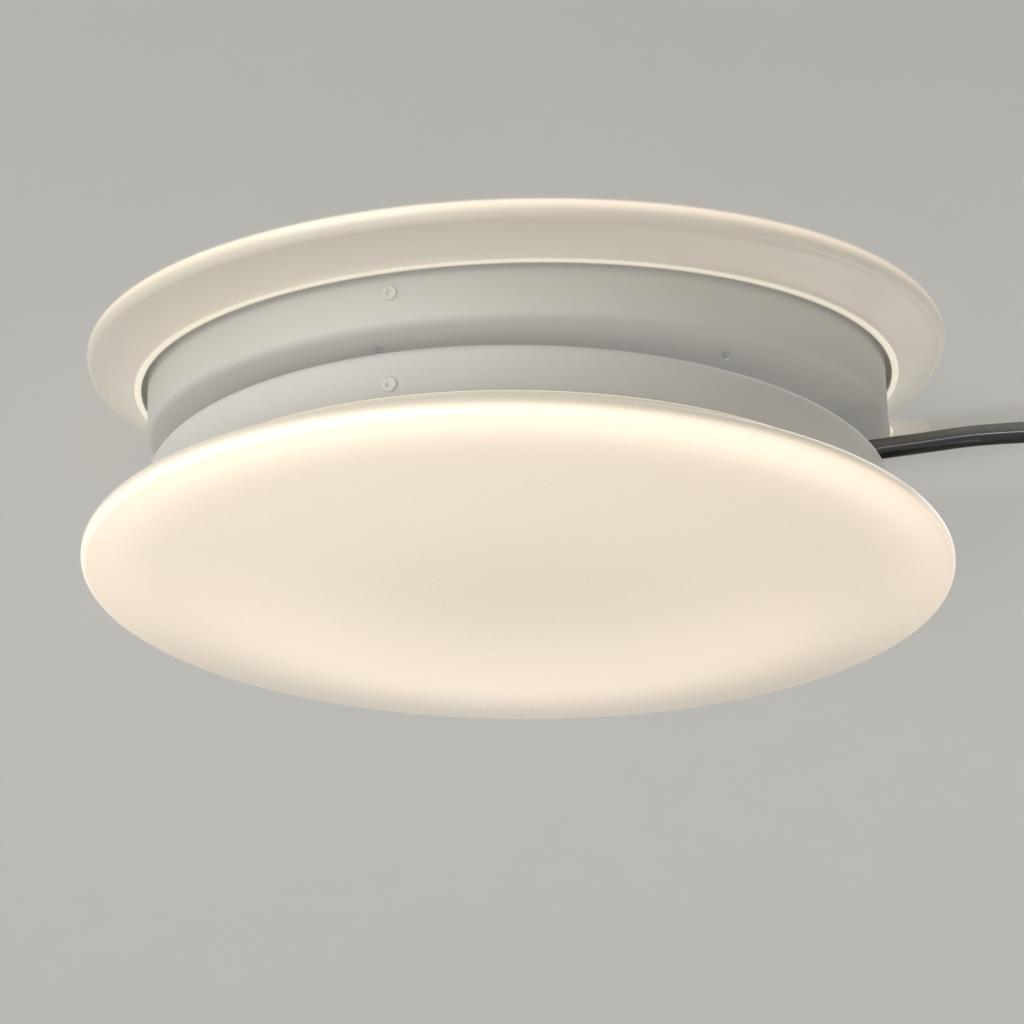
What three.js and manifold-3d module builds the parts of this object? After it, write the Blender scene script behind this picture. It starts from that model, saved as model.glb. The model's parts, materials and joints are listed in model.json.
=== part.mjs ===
// Ceiling light: an opal diffuser clipped to a pressed steel base that hangs on a ceiling bar.
// Millimetres, +Z up. The origin is on the ceiling, over the middle of the bar.
import * as THREE from 'three';
import { mergeVertices } from 'three/addons/utils/BufferGeometryUtils.js';
import Module from 'manifold-3d';

const wasm = await Module();
wasm.setup();

// Lamp as a whole
const lampRadius = 200;
const rimOverhang = 28;
const baseRadius = lampRadius - rimOverhang;
const standoff = 12.6;
const baseHeight = 37.4;
const touchGap = 0.3;
const cutOverrun = 1;
const roundSides = 72;
const smallSides = 12;
const boxSides = 36;

// Base pan
const panSheet = 0.8;
const panBend = 4;
const bendSteps = 4;

// Diffuser, whose lip climbs round the pan's wall
const diffuserWall = 2;
const lipClearance = 3;
const lipClimb = 13;
const lipWidth = 3.4;
const lipHeight = 2.3;
const lipRoundShare = 0.65;
const rimDrop = 2.5;
const rimHalfHeight = 4.5;
const rimRound = 3;
const rimStartShare = 0.33;
const rimSteps = 5;
const flangeSteps = 3;
const flangeBowShare = 0.6;
const domeSag = 15;
const domeShares = [0.88, 0.7, 0.48, 0.24];

// Spring clips riveted inside the wall
const clipAngles = [-108, 12, 132];
const clipSheet = 0.5;
const clipWidth = 10;
const clipReach = 2.2;
const clipTopLength = 6;
const clipFlankDrop = 1.8;
const clipNoseHeight = 4.2;
const clipTailLength = 2.4;
const clipTailIn = 0.8;
const clipPlay = 1;
const rivetRise = 8;
const rivetHeadRadius = 3.4;
const rivetHeadHeight = 1.1;
const rivetDimpleRadius = 1.3;
const rivetShankRadius = 1.6;
const rivetInnerRadius = 2.6;
const rivetInnerHeight = 0.8;

// Ceiling bar and the screws that hold the pan to it
const barSheet = 1.5;
const barWidth = 22;
const barFlatLength = 90;
const barLegRun = 6;
const barTabLength = 24;
const barSlotSpacing = 60;
const barSlotLength = 14;
const barSlotWidth = 5;
const panScrewRadius = 2;
const panScrewHeadRadius = 4;
const panScrewHeadHeight = 2.6;
const panScrewGrip = 4;

// Light board, a ring on the floor of the pan
const boardInner = 80;
const boardEdgeGap = 14;
const boardOuter = baseRadius - boardEdgeGap;
const boardSheet = 1.5;
const ledSize = 3.2;
const ledHeight = 0.8;
const ledRings = [
  { share: 0.2, count: 18 },
  { share: 0.5, count: 24 },
  { share: 0.8, count: 30 },
];
const boardScrewCount = 6;
const boardScrewInset = 7;
const boardScrewTurn = 7;

// Small screws of the light board, driver, cord grip, terminal block and earth tag
const smallScrewRadius = 1.5;
const smallScrewHeadRadius = 2.9;
const smallScrewHeadHeight = 1.9;
const smallScrewGrip = 3;
const screwSlotWidth = 0.8;
const screwSlotDepth = 0.9;

// Driver: a tray with a lid, a circuit board and its three large parts
const driverLength = 92;
const driverWidth = 40;
const driverHeight = 22;
const driverWall = 1.6;
const driverX = -6;
const driverY = -34;
const driverLugLength = 9;
const driverLugSheet = 2;
const driverLidSheet = 1.6;
const driverSheet = 1.6;
const driverBoardClearance = 1;
const driverBoardRise = 3;
const driverPostWidth = 4;
const transformerSize = 17;
const transformerHeight = 13;
const transformerCoreWidth = 6;
const transformerShift = 4;
const capacitorRadius = 6;
const capacitorHeight = 14;
const capacitorInset = 18;
const chokeRadius = 5.5;
const chokeHeight = 10;
const chokeBoreRadius = 2;
const chokeInset = 22;
const leadHoleRadius = 3;
const leadHoleInset = 6;

// Terminal block with three ways
const blockWays = 3;
const blockPitch = 10;
const blockLength = 18;
const blockHeight = 14;
const blockX = 6;
const blockY = 27;
const boreHeight = 9;
const boreRadius = 1.6;
const wayScrewRadius = 2;
const wayScrewLength = 2;
const wayScrewInset = 4;
const blockScrewSink = 3.4;

// Cables and wires
const cableRadius = 2.7;
const cableSides = 10;
const wireRadius = 0.9;
const wireSides = 8;
const wireEntry = 4;
const cableEndSteps = 16;
const supplySteps = 26;
const wireSteps = 12;
const coreSpread = 1.25;
const coreTurns = [210, 90, -30];

// Grommet in the pan and grip beside it
const grommetX = 64;
const grommetY = 22;
const grommetFlangeRadius = 8;
const grommetNeckRadius = 5.6;
const grommetTopHeight = 1.6;
const grommetFootHeight = 1.3;
const gripX = 38;
const gripLength = 8;
const gripWidth = 24;
const gripBarHeight = 4;
const gripScrewSpacing = 16;
const sheathEndX = 29;
const cableSlope = 44;
const cableBendSteps = 4;
const cableLead = 1;

// Earth tag
const tagX = -30;
const tagY = 46;
const tagRadius = 4.5;
const tagSheet = 1;
const tagTailLength = 10;
const tagTailWidth = 3.6;

// Ceiling box that the supply cable comes from
const boxX = 274;
const boxY = -56;
const boxTurn = -9;
const boxRadius = 30;
const boxHeight = 22;
const boxWall = 2;
const boxEntryWidth = 9;
const boxEntryLength = 5;
const boxEntryHeight = 7;
const boxLidSheet = 2;
const boxLidBevel = 1;
const boxPostRadius = 3.5;

// Heights and places worked out from the sizes above
const panBack = -standoff;
const panFloor = panBack - panSheet;
const panMiddle = panBack - panSheet / 2;
const panEdge = panBack - baseHeight;
const floorSeat = panFloor - touchGap;
const lipInner = baseRadius + lipClearance;
const lipTop = panEdge + lipClimb;
const lipUnder = lipTop - lipHeight;
const rimMiddle = panEdge - rimDrop;
const rivetZ = lipTop + rivetRise;
const boreZ = floorSeat - boreHeight;
const slope = THREE.MathUtils.degToRad(cableSlope);
const cableRunZ = -(cableRadius + touchGap);
const wallSagitta = baseRadius * (1 - Math.cos(Math.PI / roundSides));
const clipLeaf = baseRadius - panSheet - wallSagitta - touchGap;
const panScrewY = barFlatLength / 2 + barLegRun + barTabLength / 2;
const driverMouth = floorSeat - driverHeight;
const driverBoardTop = floorSeat - driverWall - driverBoardRise;
const driverPartSeat = driverBoardTop - driverSheet - touchGap;
const driverLeadZ = driverBoardTop - driverSheet - leadHoleRadius;
const driverOutputY = driverY + driverWidth / 2 - driverWall - driverPostWidth - leadHoleRadius;
const blockRight = blockX + blockLength / 2;
const blockLeft = blockX - blockLength / 2;
const blockFace = floorSeat - blockHeight;
const blockScrewSeat = blockFace + blockScrewSink;
const blockScrewY = blockY + blockPitch / 2;
const grommetTop = panBack + touchGap + grommetTopHeight;
const grommetFoot = panFloor - touchGap - grommetFootHeight;
const gripFace = boreZ - touchGap - gripBarHeight;
const boxLidSeat = -boxHeight - touchGap;

const finishes = {
  opal: { color: 0xf5ead2, roughness: 0.35, metalness: 0 },
  whitePaint: { color: 0xe6e3dc, roughness: 0.5, metalness: 0 },
  zincSteel: { color: 0xa9adb0, roughness: 0.4, metalness: 1 },
  springSteel: { color: 0x8d9296, roughness: 0.3, metalness: 1 },
  rivetSteel: { color: 0xd9d6cf, roughness: 0.45, metalness: 0.6 },
  brass: { color: 0xc8a55a, roughness: 0.35, metalness: 1 },
  blackRubber: { color: 0x161616, roughness: 0.7, metalness: 0 },
  blackSheath: { color: 0x101010, roughness: 0.35, metalness: 0 },
  whiteMask: { color: 0xf2f1ea, roughness: 0.5, metalness: 0 },
  whiteShell: { color: 0xe9e8e3, roughness: 0.5, metalness: 0 },
  circuit: { color: 0x2f6b3d, roughness: 0.5, metalness: 0 },
  ferrite: { color: 0x34343a, roughness: 0.7, metalness: 0 },
  sleeve: { color: 0x1d1f2b, roughness: 0.4, metalness: 0 },
  copper: { color: 0xb26a3a, roughness: 0.4, metalness: 1 },
  brownWire: { color: 0x5b3420, roughness: 0.4, metalness: 0 },
  blueWire: { color: 0x2a62b8, roughness: 0.4, metalness: 0 },
  greenWire: { color: 0x4e8f2f, roughness: 0.4, metalness: 0 },
  redWire: { color: 0xb3261c, roughness: 0.4, metalness: 0 },
  blackWire: { color: 0x1a1a1a, roughness: 0.4, metalness: 0 },
};

const lamp = new THREE.Group();

// Geometry helpers

function v2(x, y) {
  return new THREE.Vector2(x, y);
}

function v3(x, y, z) {
  return new THREE.Vector3(x, y, z);
}

function toSolid(geometry) {
  const bare = geometry.clone();
  bare.deleteAttribute('normal');
  bare.deleteAttribute('uv');
  const merged = mergeVertices(bare, 1e-4);
  const index = merged.index.array;
  const kept = [];
  for (let i = 0; i < index.length; i += 3) {
    const [a, b, c] = [index[i], index[i + 1], index[i + 2]];
    if (a !== b && b !== c && c !== a) kept.push(a, b, c);
  }
  const points = merged.attributes.position.array;
  const corner = (i) => v3(points[3 * i], points[3 * i + 1], points[3 * i + 2]);
  let volume = 0;
  for (let i = 0; i < kept.length; i += 3) {
    volume += corner(kept[i]).dot(corner(kept[i + 1]).cross(corner(kept[i + 2])));
  }
  if (volume < 0) kept.reverse();
  const mesh = new wasm.Mesh({
    numProp: 3,
    vertProperties: new Float32Array(points),
    triVerts: new Uint32Array(kept),
  });
  return new wasm.Manifold(mesh);
}

function toGeometry(solid) {
  const mesh = solid.getMesh();
  const geometry = new THREE.BufferGeometry();
  geometry.setAttribute('position', new THREE.BufferAttribute(mesh.vertProperties, 3));
  geometry.setIndex(new THREE.BufferAttribute(mesh.triVerts, 1));
  geometry.computeVertexNormals();
  return geometry;
}

// Turns an outline of radius and height round the Z axis.
function turned(outline, sides = smallSides) {
  return toSolid(new THREE.LatheGeometry(outline, sides).rotateX(Math.PI / 2));
}

function ring(inner, outer, low, high, sides = smallSides) {
  const outline = [v2(inner, low), v2(outer, low), v2(outer, high), v2(inner, high), v2(inner, low)];
  return turned(outline, sides);
}

function drum(radius, low, high, sides = smallSides) {
  return turned([v2(0, low), v2(radius, low), v2(radius, high), v2(0, high)], sides);
}

function block(x0, x1, y0, y1, z0, z1) {
  const geometry = new THREE.BoxGeometry(x1 - x0, y1 - y0, z1 - z0);
  return toSolid(geometry.translate((x0 + x1) / 2, (y0 + y1) / 2, (z0 + z1) / 2));
}

// Stands an outline of x and z upright and gives it a width across y.
function standing(outline, width) {
  const geometry = new THREE.ExtrudeGeometry(new THREE.Shape(outline), { depth: width, bevelEnabled: false });
  return toSolid(geometry.rotateX(Math.PI / 2).translate(0, width / 2, 0));
}

// Shifts an open path sideways by a distance, with its corners mitred.
function besidePath(path, distance) {
  return path.map((point, i) => {
    const before = path[Math.max(i - 1, 0)];
    const after = path[Math.min(i + 1, path.length - 1)];
    const first = (i > 0 ? point.clone().sub(before) : after.clone().sub(point)).normalize();
    const second = (i < path.length - 1 ? after.clone().sub(point) : first.clone()).normalize();
    const miter = v2(first.y + second.y, -(first.x + second.x)).normalize();
    const reach = distance / miter.dot(v2(first.y, -first.x));
    return point.clone().addScaledVector(miter, reach);
  });
}

function sheetOutline(path, thickness) {
  return [...path, ...besidePath(path, thickness).reverse()];
}

function tube(points, radius, sides, steps) {
  const section = new THREE.Shape();
  for (let i = 0; i < sides; i++) {
    const turn = (2 * Math.PI * i) / sides;
    const x = radius * Math.cos(turn);
    const y = radius * Math.sin(turn);
    if (i === 0) section.moveTo(x, y);
    else section.lineTo(x, y);
  }
  const path = new THREE.CatmullRomCurve3(points, false, 'centripetal');
  return toSolid(new THREE.ExtrudeGeometry(section, { steps, extrudePath: path, bevelEnabled: false }));
}

function addPiece(name, solid, finish, parent = lamp) {
  const mesh = new THREE.Mesh(toGeometry(solid), new THREE.MeshStandardMaterial(finish));
  mesh.name = name;
  parent.add(mesh);
  return mesh;
}

function addPieceAt(name, solid, finish, x, y, z) {
  addPiece(name, solid, finish).position.set(x, y, z);
}

// A pan-head screw with its head down. Its seat is at zero and its shank points up.
function screw(headRadius, headHeight, shankRadius, length) {
  const crownShare = 0.6;
  const edgeShare = 0.45;
  const tipShare = 0.5;
  const solid = turned([
    v2(0, -headHeight),
    v2(headRadius * crownShare, -headHeight),
    v2(headRadius, -headHeight * edgeShare),
    v2(headRadius, 0),
    v2(shankRadius, 0),
    v2(shankRadius, length - shankRadius * tipShare),
    v2(shankRadius * tipShare, length),
    v2(0, length),
  ]);
  const half = headRadius + cutOverrun;
  const slotFloor = -headHeight + screwSlotDepth;
  const slotHalf = screwSlotWidth / 2;
  return solid.subtract(block(-half, half, -slotHalf, slotHalf, -headHeight - cutOverrun, slotFloor));
}

function smallScrew(underHead) {
  const length = underHead + smallScrewGrip;
  return screw(smallScrewHeadRadius, smallScrewHeadHeight, smallScrewRadius, length);
}

// Places of the small screws in the floor of the pan, and of the ways of the terminal block
const boardScrewCircle = boardOuter - boardScrewInset;
const boardScrewPlaces = Array.from({ length: boardScrewCount }, (_, i) => {
  const turn = THREE.MathUtils.degToRad((360 * i) / boardScrewCount + boardScrewTurn);
  return [boardScrewCircle * Math.cos(turn), boardScrewCircle * Math.sin(turn)];
});
const driverScrewPlaces = [-1, 1].map((side) => [
  driverX + side * (driverLength / 2 + driverLugLength / 2),
  driverY,
]);
const gripScrewPlaces = [-1, 1].map((side) => [gripX, grommetY + (side * gripScrewSpacing) / 2]);
const blockWayPlaces = Array.from({ length: blockWays }, (_, i) => {
  return blockY + (i - (blockWays - 1) / 2) * blockPitch;
});
const wayScrewX = [-1, 1].map((side) => blockX + side * (blockLength / 2 - wayScrewInset));

// Base pan: a pressed sheet with a flat back, a rounded corner and a straight wall
function makeBasePan() {
  const corner = v2(baseRadius - panBend, panBack - panBend);
  const bend = (radius, i) => {
    const turn = (Math.PI / 2) * (i / bendSteps);
    return v2(corner.x + radius * Math.sin(turn), corner.y + radius * Math.cos(turn));
  };
  const steps = Array.from({ length: bendSteps + 1 }, (_, i) => i);
  const outline = [
    v2(0, panBack),
    ...steps.map((i) => bend(panBend, i)),
    v2(baseRadius, panEdge),
    v2(baseRadius - panSheet, panEdge),
    ...steps.reverse().map((i) => bend(panBend - panSheet, i)),
    v2(0, panFloor),
  ];
  let pan = turned(outline, roundSides);
  const low = panFloor - cutOverrun;
  const high = panBack + cutOverrun;
  const drill = (x, y, radius) => {
    pan = pan.subtract(drum(radius, low, high).translate([x, y, 0]));
  };
  drill(grommetX, grommetY, grommetNeckRadius + touchGap);
  for (const side of [-1, 1]) drill(0, side * panScrewY, panScrewRadius + touchGap);
  const smallHoles = [...boardScrewPlaces, ...driverScrewPlaces, ...gripScrewPlaces];
  smallHoles.push([blockX, blockScrewY], [tagX, tagY]);
  for (const [x, y] of smallHoles) drill(x, y, smallScrewRadius + touchGap);
  const reachIn = baseRadius - panBend;
  const reachOut = baseRadius + cutOverrun;
  const rivetHole = drum(rivetShankRadius + touchGap, reachIn, reachOut).rotate([0, 90, 0]);
  const windowHalf = clipWidth / 2 + clipPlay;
  const nose = clipNose();
  const windowLow = nose.foot - clipPlay;
  const windowHigh = nose.shelf + clipPlay / 2;
  const window = block(reachIn, reachOut, -windowHalf, windowHalf, windowLow, windowHigh);
  for (const angle of clipAngles) {
    pan = pan.subtract(rivetHole.translate([0, 0, rivetZ]).rotate([0, 0, angle]));
    pan = pan.subtract(window.rotate([0, 0, angle]));
  }
  return pan;
}

// Diffuser: lip, sloping back flange, rounded rim and shallow dome as one moulded shell
function makeDiffuser() {
  const rimCentre = v2(lampRadius - rimRound, rimMiddle);
  const rim = Array.from({ length: rimSteps + 1 }, (_, i) => {
    const from = Math.PI * rimStartShare;
    const turn = from - ((from + Math.PI / 2) * i) / rimSteps;
    return v2(rimCentre.x + rimRound * Math.cos(turn), rimCentre.y + rimHalfHeight * Math.sin(turn));
  });
  const flangeFrom = v2(lipInner + lipWidth, lipUnder);
  const flangeTo = rim[0];
  const bow = v2(THREE.MathUtils.lerp(flangeFrom.x, flangeTo.x, flangeBowShare), flangeTo.y);
  const flange = new THREE.QuadraticBezierCurve(flangeFrom, bow, flangeTo).getPoints(flangeSteps);
  const domeEdge = rim[rimSteps];
  const dome = domeShares.map((share) => {
    return v2(domeEdge.x * share, domeEdge.y - domeSag * (1 - share * share));
  });
  const outside = [...flange, ...rim.slice(1), ...dome, v2(0, domeEdge.y - domeSag)];
  const inside = besidePath(outside, diffuserWall);
  inside[inside.length - 1].x = 0;
  const lip = [v2(lipInner, lipUnder), v2(lipInner, lipTop), v2(lipInner + lipWidth * lipRoundShare, lipTop)];
  return turned([...lip, ...outside, ...inside.reverse(), lip[0]].map((p) => p.clone()), roundSides);
}

// Where the nose of a clip stands: its shelf under the lip, its tip and its foot
function clipNose() {
  const shelf = lipUnder - touchGap;
  const tip = shelf - clipFlankDrop;
  return { shelf, tip, foot: tip - clipNoseHeight };
}

function makeClip() {
  const nose = clipNose();
  const path = [
    v2(clipLeaf, rivetZ + clipTopLength),
    v2(clipLeaf, nose.shelf + clipSheet),
    v2(lipInner, nose.shelf),
    v2(lipInner + clipReach, nose.tip),
    v2(clipLeaf, nose.foot),
    v2(clipLeaf - clipTailIn, nose.foot - clipTailLength),
  ];
  const strip = standing(sheetOutline(path, clipSheet), clipWidth);
  const hole = drum(rivetShankRadius + touchGap, clipLeaf - cutOverrun - clipSheet, clipLeaf + cutOverrun);
  return strip.subtract(hole.rotate([0, 90, 0]).translate([0, 0, rivetZ]));
}

// A rivet along its own axis, with the outer head towards +Z
function makeRivet() {
  const innerSeat = clipLeaf - clipSheet - touchGap;
  const dimpleDepthShare = 0.5;
  const edgeShare = 0.35;
  const crownShare = 0.7;
  const outline = [
    v2(0, innerSeat - rivetInnerHeight),
    v2(rivetInnerRadius, innerSeat - rivetInnerHeight),
    v2(rivetInnerRadius, innerSeat),
    v2(rivetShankRadius, innerSeat),
    v2(rivetShankRadius, baseRadius),
    v2(rivetHeadRadius, baseRadius),
    v2(rivetHeadRadius, baseRadius + rivetHeadHeight * edgeShare),
    v2(rivetHeadRadius * crownShare, baseRadius + rivetHeadHeight),
    v2(rivetDimpleRadius, baseRadius + rivetHeadHeight),
    v2(0, baseRadius + rivetHeadHeight * dimpleDepthShare),
  ];
  return turned(outline).rotate([0, 90, 0]);
}

// Ceiling bar: flat against the ceiling in the middle, stepped down to a tab at each end
function makeCeilingBar() {
  const half = barFlatLength / 2;
  const tabZ = panBack + touchGap + barSheet;
  const path = [
    v2(-half - barLegRun - barTabLength, tabZ),
    v2(-half - barLegRun, tabZ),
    v2(-half, 0),
    v2(half, 0),
    v2(half + barLegRun, tabZ),
    v2(half + barLegRun + barTabLength, tabZ),
  ];
  let bar = standing(sheetOutline(path, barSheet), barWidth).rotate([0, 0, 90]);
  const low = -barSheet - cutOverrun;
  const across = barSlotWidth / 2;
  const slotHalf = (barSlotLength - barSlotWidth) / 2;
  for (const side of [-1, 1]) {
    const slotY = (side * barSlotSpacing) / 2;
    for (const end of [-1, 1]) {
      bar = bar.subtract(drum(across, low, cutOverrun).translate([0, slotY + end * slotHalf, 0]));
    }
    bar = bar.subtract(block(-across, across, slotY - slotHalf, slotY + slotHalf, low, cutOverrun));
    const tapped = drum(panScrewRadius + touchGap, panBack - cutOverrun, tabZ + cutOverrun);
    bar = bar.subtract(tapped.translate([0, side * panScrewY, 0]));
  }
  return bar;
}

// Light board: a ring with its light-emitting diodes standing on it
function makeLightBoard() {
  const top = floorSeat;
  const face = top - boardSheet;
  let board = ring(boardInner, boardOuter, face, top, roundSides);
  const half = ledSize / 2;
  const diode = block(-half, half, -half, half, face - ledHeight, face + boardSheet / 2);
  const diodes = [];
  for (const { share, count } of ledRings) {
    const radius = THREE.MathUtils.lerp(boardInner, boardOuter - boardScrewInset, share);
    for (let i = 0; i < count; i++) {
      diodes.push(diode.translate([radius, 0, 0]).rotate([0, 0, (360 * i) / count]));
    }
  }
  board = board.add(wasm.Manifold.union(diodes));
  for (const [x, y] of boardScrewPlaces) {
    const hole = drum(smallScrewRadius + touchGap, face - cutOverrun, top + cutOverrun);
    board = board.subtract(hole.translate([x, y, 0]));
  }
  return board;
}

// Driver tray: open below, with a screw lug at each end and posts for its circuit board
function makeDriverTray() {
  const x0 = driverX - driverLength / 2;
  const x1 = driverX + driverLength / 2;
  const y0 = driverY - driverWidth / 2;
  const y1 = driverY + driverWidth / 2;
  let tray = block(x0, x1, y0, y1, driverMouth, floorSeat);
  const hollow = block(
    x0 + driverWall, x1 - driverWall, y0 + driverWall, y1 - driverWall,
    driverMouth - cutOverrun, floorSeat - driverWall,
  );
  tray = tray.subtract(hollow);
  const lugHalf = smallScrewHeadRadius + driverLugSheet;
  const lugs = block(
    x0 - driverLugLength, x0 + driverWall / 2, driverY - lugHalf, driverY + lugHalf,
    floorSeat - driverLugSheet, floorSeat,
  );
  tray = tray.add(lugs).add(lugs.translate([-driverX, 0, 0]).scale([-1, 1, 1]).translate([driverX, 0, 0]));
  for (const [x, y] of driverScrewPlaces) {
    const low = floorSeat - driverLugSheet - cutOverrun;
    const hole = drum(smallScrewRadius + touchGap, low, floorSeat + cutOverrun);
    tray = tray.subtract(hole.translate([x, y, 0]));
  }
  const postTop = floorSeat - driverWall / 2;
  for (const sx of [-1, 1]) {
    for (const sy of [-1, 1]) {
      const px = driverX + sx * (driverLength / 2 - driverWall - driverPostWidth / 2);
      const py = driverY + sy * (driverWidth / 2 - driverWall - driverPostWidth / 2);
      const half = driverPostWidth / 2 + driverWall / 4;
      tray = tray.add(block(px - half, px + half, py - half, py + half, driverBoardTop + touchGap, postTop));
    }
  }
  const leadHole = drum(leadHoleRadius, -driverWall - cutOverrun, driverWall + cutOverrun);
  const inputHole = leadHole.rotate([90, 0, 0]).translate([x0 + driverWall + leadHoleInset, y1, driverLeadZ]);
  const outputHole = leadHole.rotate([0, 90, 0]).translate([x1, driverOutputY, driverLeadZ]);
  return tray.subtract(inputHole).subtract(outputHole);
}

function makeDriverLid() {
  const x0 = driverX - driverLength / 2;
  const x1 = driverX + driverLength / 2;
  const y0 = driverY - driverWidth / 2;
  const y1 = driverY + driverWidth / 2;
  const seat = driverMouth - touchGap;
  const inset = driverWall + touchGap;
  const plate = block(x0, x1, y0, y1, seat - driverLidSheet, seat);
  const low = seat - driverLidSheet / 2;
  const high = driverMouth + driverWall;
  const plug = block(x0 + inset, x1 - inset, y0 + inset, y1 - inset, low, high);
  const rim = inset + driverWall;
  const hollow = block(x0 + rim, x1 - rim, y0 + rim, y1 - rim, seat, high + cutOverrun);
  return plate.add(plug.subtract(hollow));
}

function makeDriverBoard() {
  const halfLength = driverLength / 2 - driverWall - driverBoardClearance;
  const halfWidth = driverWidth / 2 - driverWall - driverBoardClearance;
  return block(
    driverX - halfLength, driverX + halfLength, driverY - halfWidth, driverY + halfWidth,
    driverBoardTop - driverSheet, driverBoardTop,
  );
}

function makeTransformer() {
  const half = transformerSize / 2;
  const winding = block(-half, half, -half, half, -transformerHeight, 0);
  const core = transformerCoreWidth / 2;
  const wide = half + driverWall;
  const tall = transformerHeight + driverWall / 2;
  return winding.add(block(-wide, wide, -core, core, -tall, -driverWall));
}

function makeCapacitor() {
  const crimpShare = 0.9;
  const crimpAtShare = 0.15;
  return turned([
    v2(0, -capacitorHeight),
    v2(capacitorRadius, -capacitorHeight),
    v2(capacitorRadius, -capacitorHeight * crimpAtShare * 2),
    v2(capacitorRadius * crimpShare, -capacitorHeight * crimpAtShare),
    v2(capacitorRadius, 0),
    v2(0, 0),
  ]);
}

function makeChoke() {
  return ring(chokeBoreRadius, chokeRadius, -chokeHeight, 0);
}

// Terminal block: a bar with a wire bore and two screw collars for each way
function makeTerminalBlock() {
  const halfLength = blockLength / 2;
  const halfWidth = (blockWays * blockPitch) / 2;
  let body = block(
    blockX - halfLength, blockX + halfLength, blockY - halfWidth, blockY + halfWidth, blockFace, floorSeat,
  );
  const bore = drum(boreRadius, -halfLength - cutOverrun, halfLength + cutOverrun, wireSides);
  for (const y of blockWayPlaces) {
    body = body.subtract(bore.rotate([0, 90, 0]).translate([blockX, y, boreZ]));
    for (const x of wayScrewX) {
      const well = drum(wayScrewRadius + touchGap, blockFace - cutOverrun, boreZ);
      body = body.subtract(well.translate([x, y, 0]));
    }
  }
  const mountHole = drum(smallScrewRadius + touchGap, blockFace - cutOverrun, floorSeat + cutOverrun);
  const sink = drum(smallScrewHeadRadius + touchGap, blockFace - cutOverrun, blockScrewSeat);
  return body.subtract(mountHole.add(sink).translate([blockX, blockScrewY, 0]));
}

// A short screw that fills the well over a wire bore
function makeWayScrew() {
  const low = -wayScrewLength;
  const solid = drum(wayScrewRadius, low, 0);
  const half = wayScrewRadius + cutOverrun;
  const slotHalf = screwSlotWidth / 2;
  return solid.subtract(block(-half, half, -slotHalf, slotHalf, low - cutOverrun, low + screwSlotDepth));
}

// Grommet: a rubber ring with a groove for the pan's sheet and a slanting bore for the cable
function makeGrommet() {
  const grooveHigh = panBack + touchGap;
  const grooveLow = panFloor - touchGap;
  const roundShare = 0.4;
  const round = grommetFootHeight * roundShare;
  const body = turned([
    v2(0, grommetFoot),
    v2(grommetFlangeRadius - round, grommetFoot),
    v2(grommetFlangeRadius, grommetFoot + round),
    v2(grommetFlangeRadius, grooveLow),
    v2(grommetNeckRadius, grooveLow),
    v2(grommetNeckRadius, grooveHigh),
    v2(grommetFlangeRadius, grooveHigh),
    v2(grommetFlangeRadius, grommetTop - round),
    v2(grommetFlangeRadius - round, grommetTop),
    v2(0, grommetTop),
  ]);
  const reach = grommetFlangeRadius + cutOverrun;
  const bore = drum(cableRadius + touchGap, -reach, reach, cableSides).rotate([0, 90 - cableSlope, 0]);
  return body.subtract(bore.translate([0, 0, panMiddle]));
}

// Half of the cord grip: a block on the floor of the pan, or the bar that presses the cable on it
function makeGripHalf(low, high) {
  const halfWidth = gripWidth / 2;
  const halfLength = gripLength / 2;
  const body = block(-halfLength, halfLength, -halfWidth, halfWidth, low, high);
  const trough = drum(cableRadius + touchGap, -halfLength - cutOverrun, halfLength + cutOverrun, cableSides);
  const grooved = body.subtract(trough.rotate([0, 90, 0]).translate([0, 0, boreZ]));
  let solid = grooved.translate([gripX, grommetY, 0]);
  for (const [x, y] of gripScrewPlaces) {
    const hole = drum(smallScrewRadius + touchGap, gripFace - cutOverrun, floorSeat + cutOverrun);
    solid = solid.subtract(hole.translate([x, y, 0]));
  }
  return solid;
}

// Earth tag: a washer with a tail that its wire is pressed into
function makeEarthTag() {
  const washer = drum(tagRadius, floorSeat - tagSheet, floorSeat);
  const half = tagTailWidth / 2;
  const tail = block(0, tagTailLength, -half, half, floorSeat - tagSheet, floorSeat);
  const hole = drum(smallScrewRadius + touchGap, floorSeat - tagSheet - cutOverrun, floorSeat + cutOverrun);
  return washer.add(tail).subtract(hole).translate([tagX, tagY, 0]);
}

// A point on the cable's axis where it slants through the grommet
function throughGrommet(z) {
  return v3(grommetX + (z - panMiddle) / Math.tan(slope), grommetY, z);
}

// Points round the bend that brings the slanting cable from one height to level at another
function levelOut(from, to) {
  const start = throughGrommet(from);
  const radius = (to - from) / (1 - Math.cos(slope));
  return Array.from({ length: cableBendSteps + 1 }, (_, i) => {
    const turn = slope * (1 - i / cableBendSteps);
    const x = start.x + radius * (Math.sin(slope) - Math.sin(turn));
    return v3(x, grommetY, from + radius * (Math.cos(turn) - Math.cos(slope)));
  });
}

// Cable inside the pan: through the grommet, round a bend and along to the end of its sheath
function makeCableEnd() {
  return tube([
    throughGrommet(grommetTop),
    ...levelOut(grommetFoot - cableLead, boreZ),
    v3(gripX, grommetY, boreZ),
    v3(sheathEndX, grommetY, boreZ),
  ], cableRadius, cableSides, cableEndSteps);
}

function wire(points) {
  return tube(points, wireRadius, wireSides, wireSteps);
}

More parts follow.
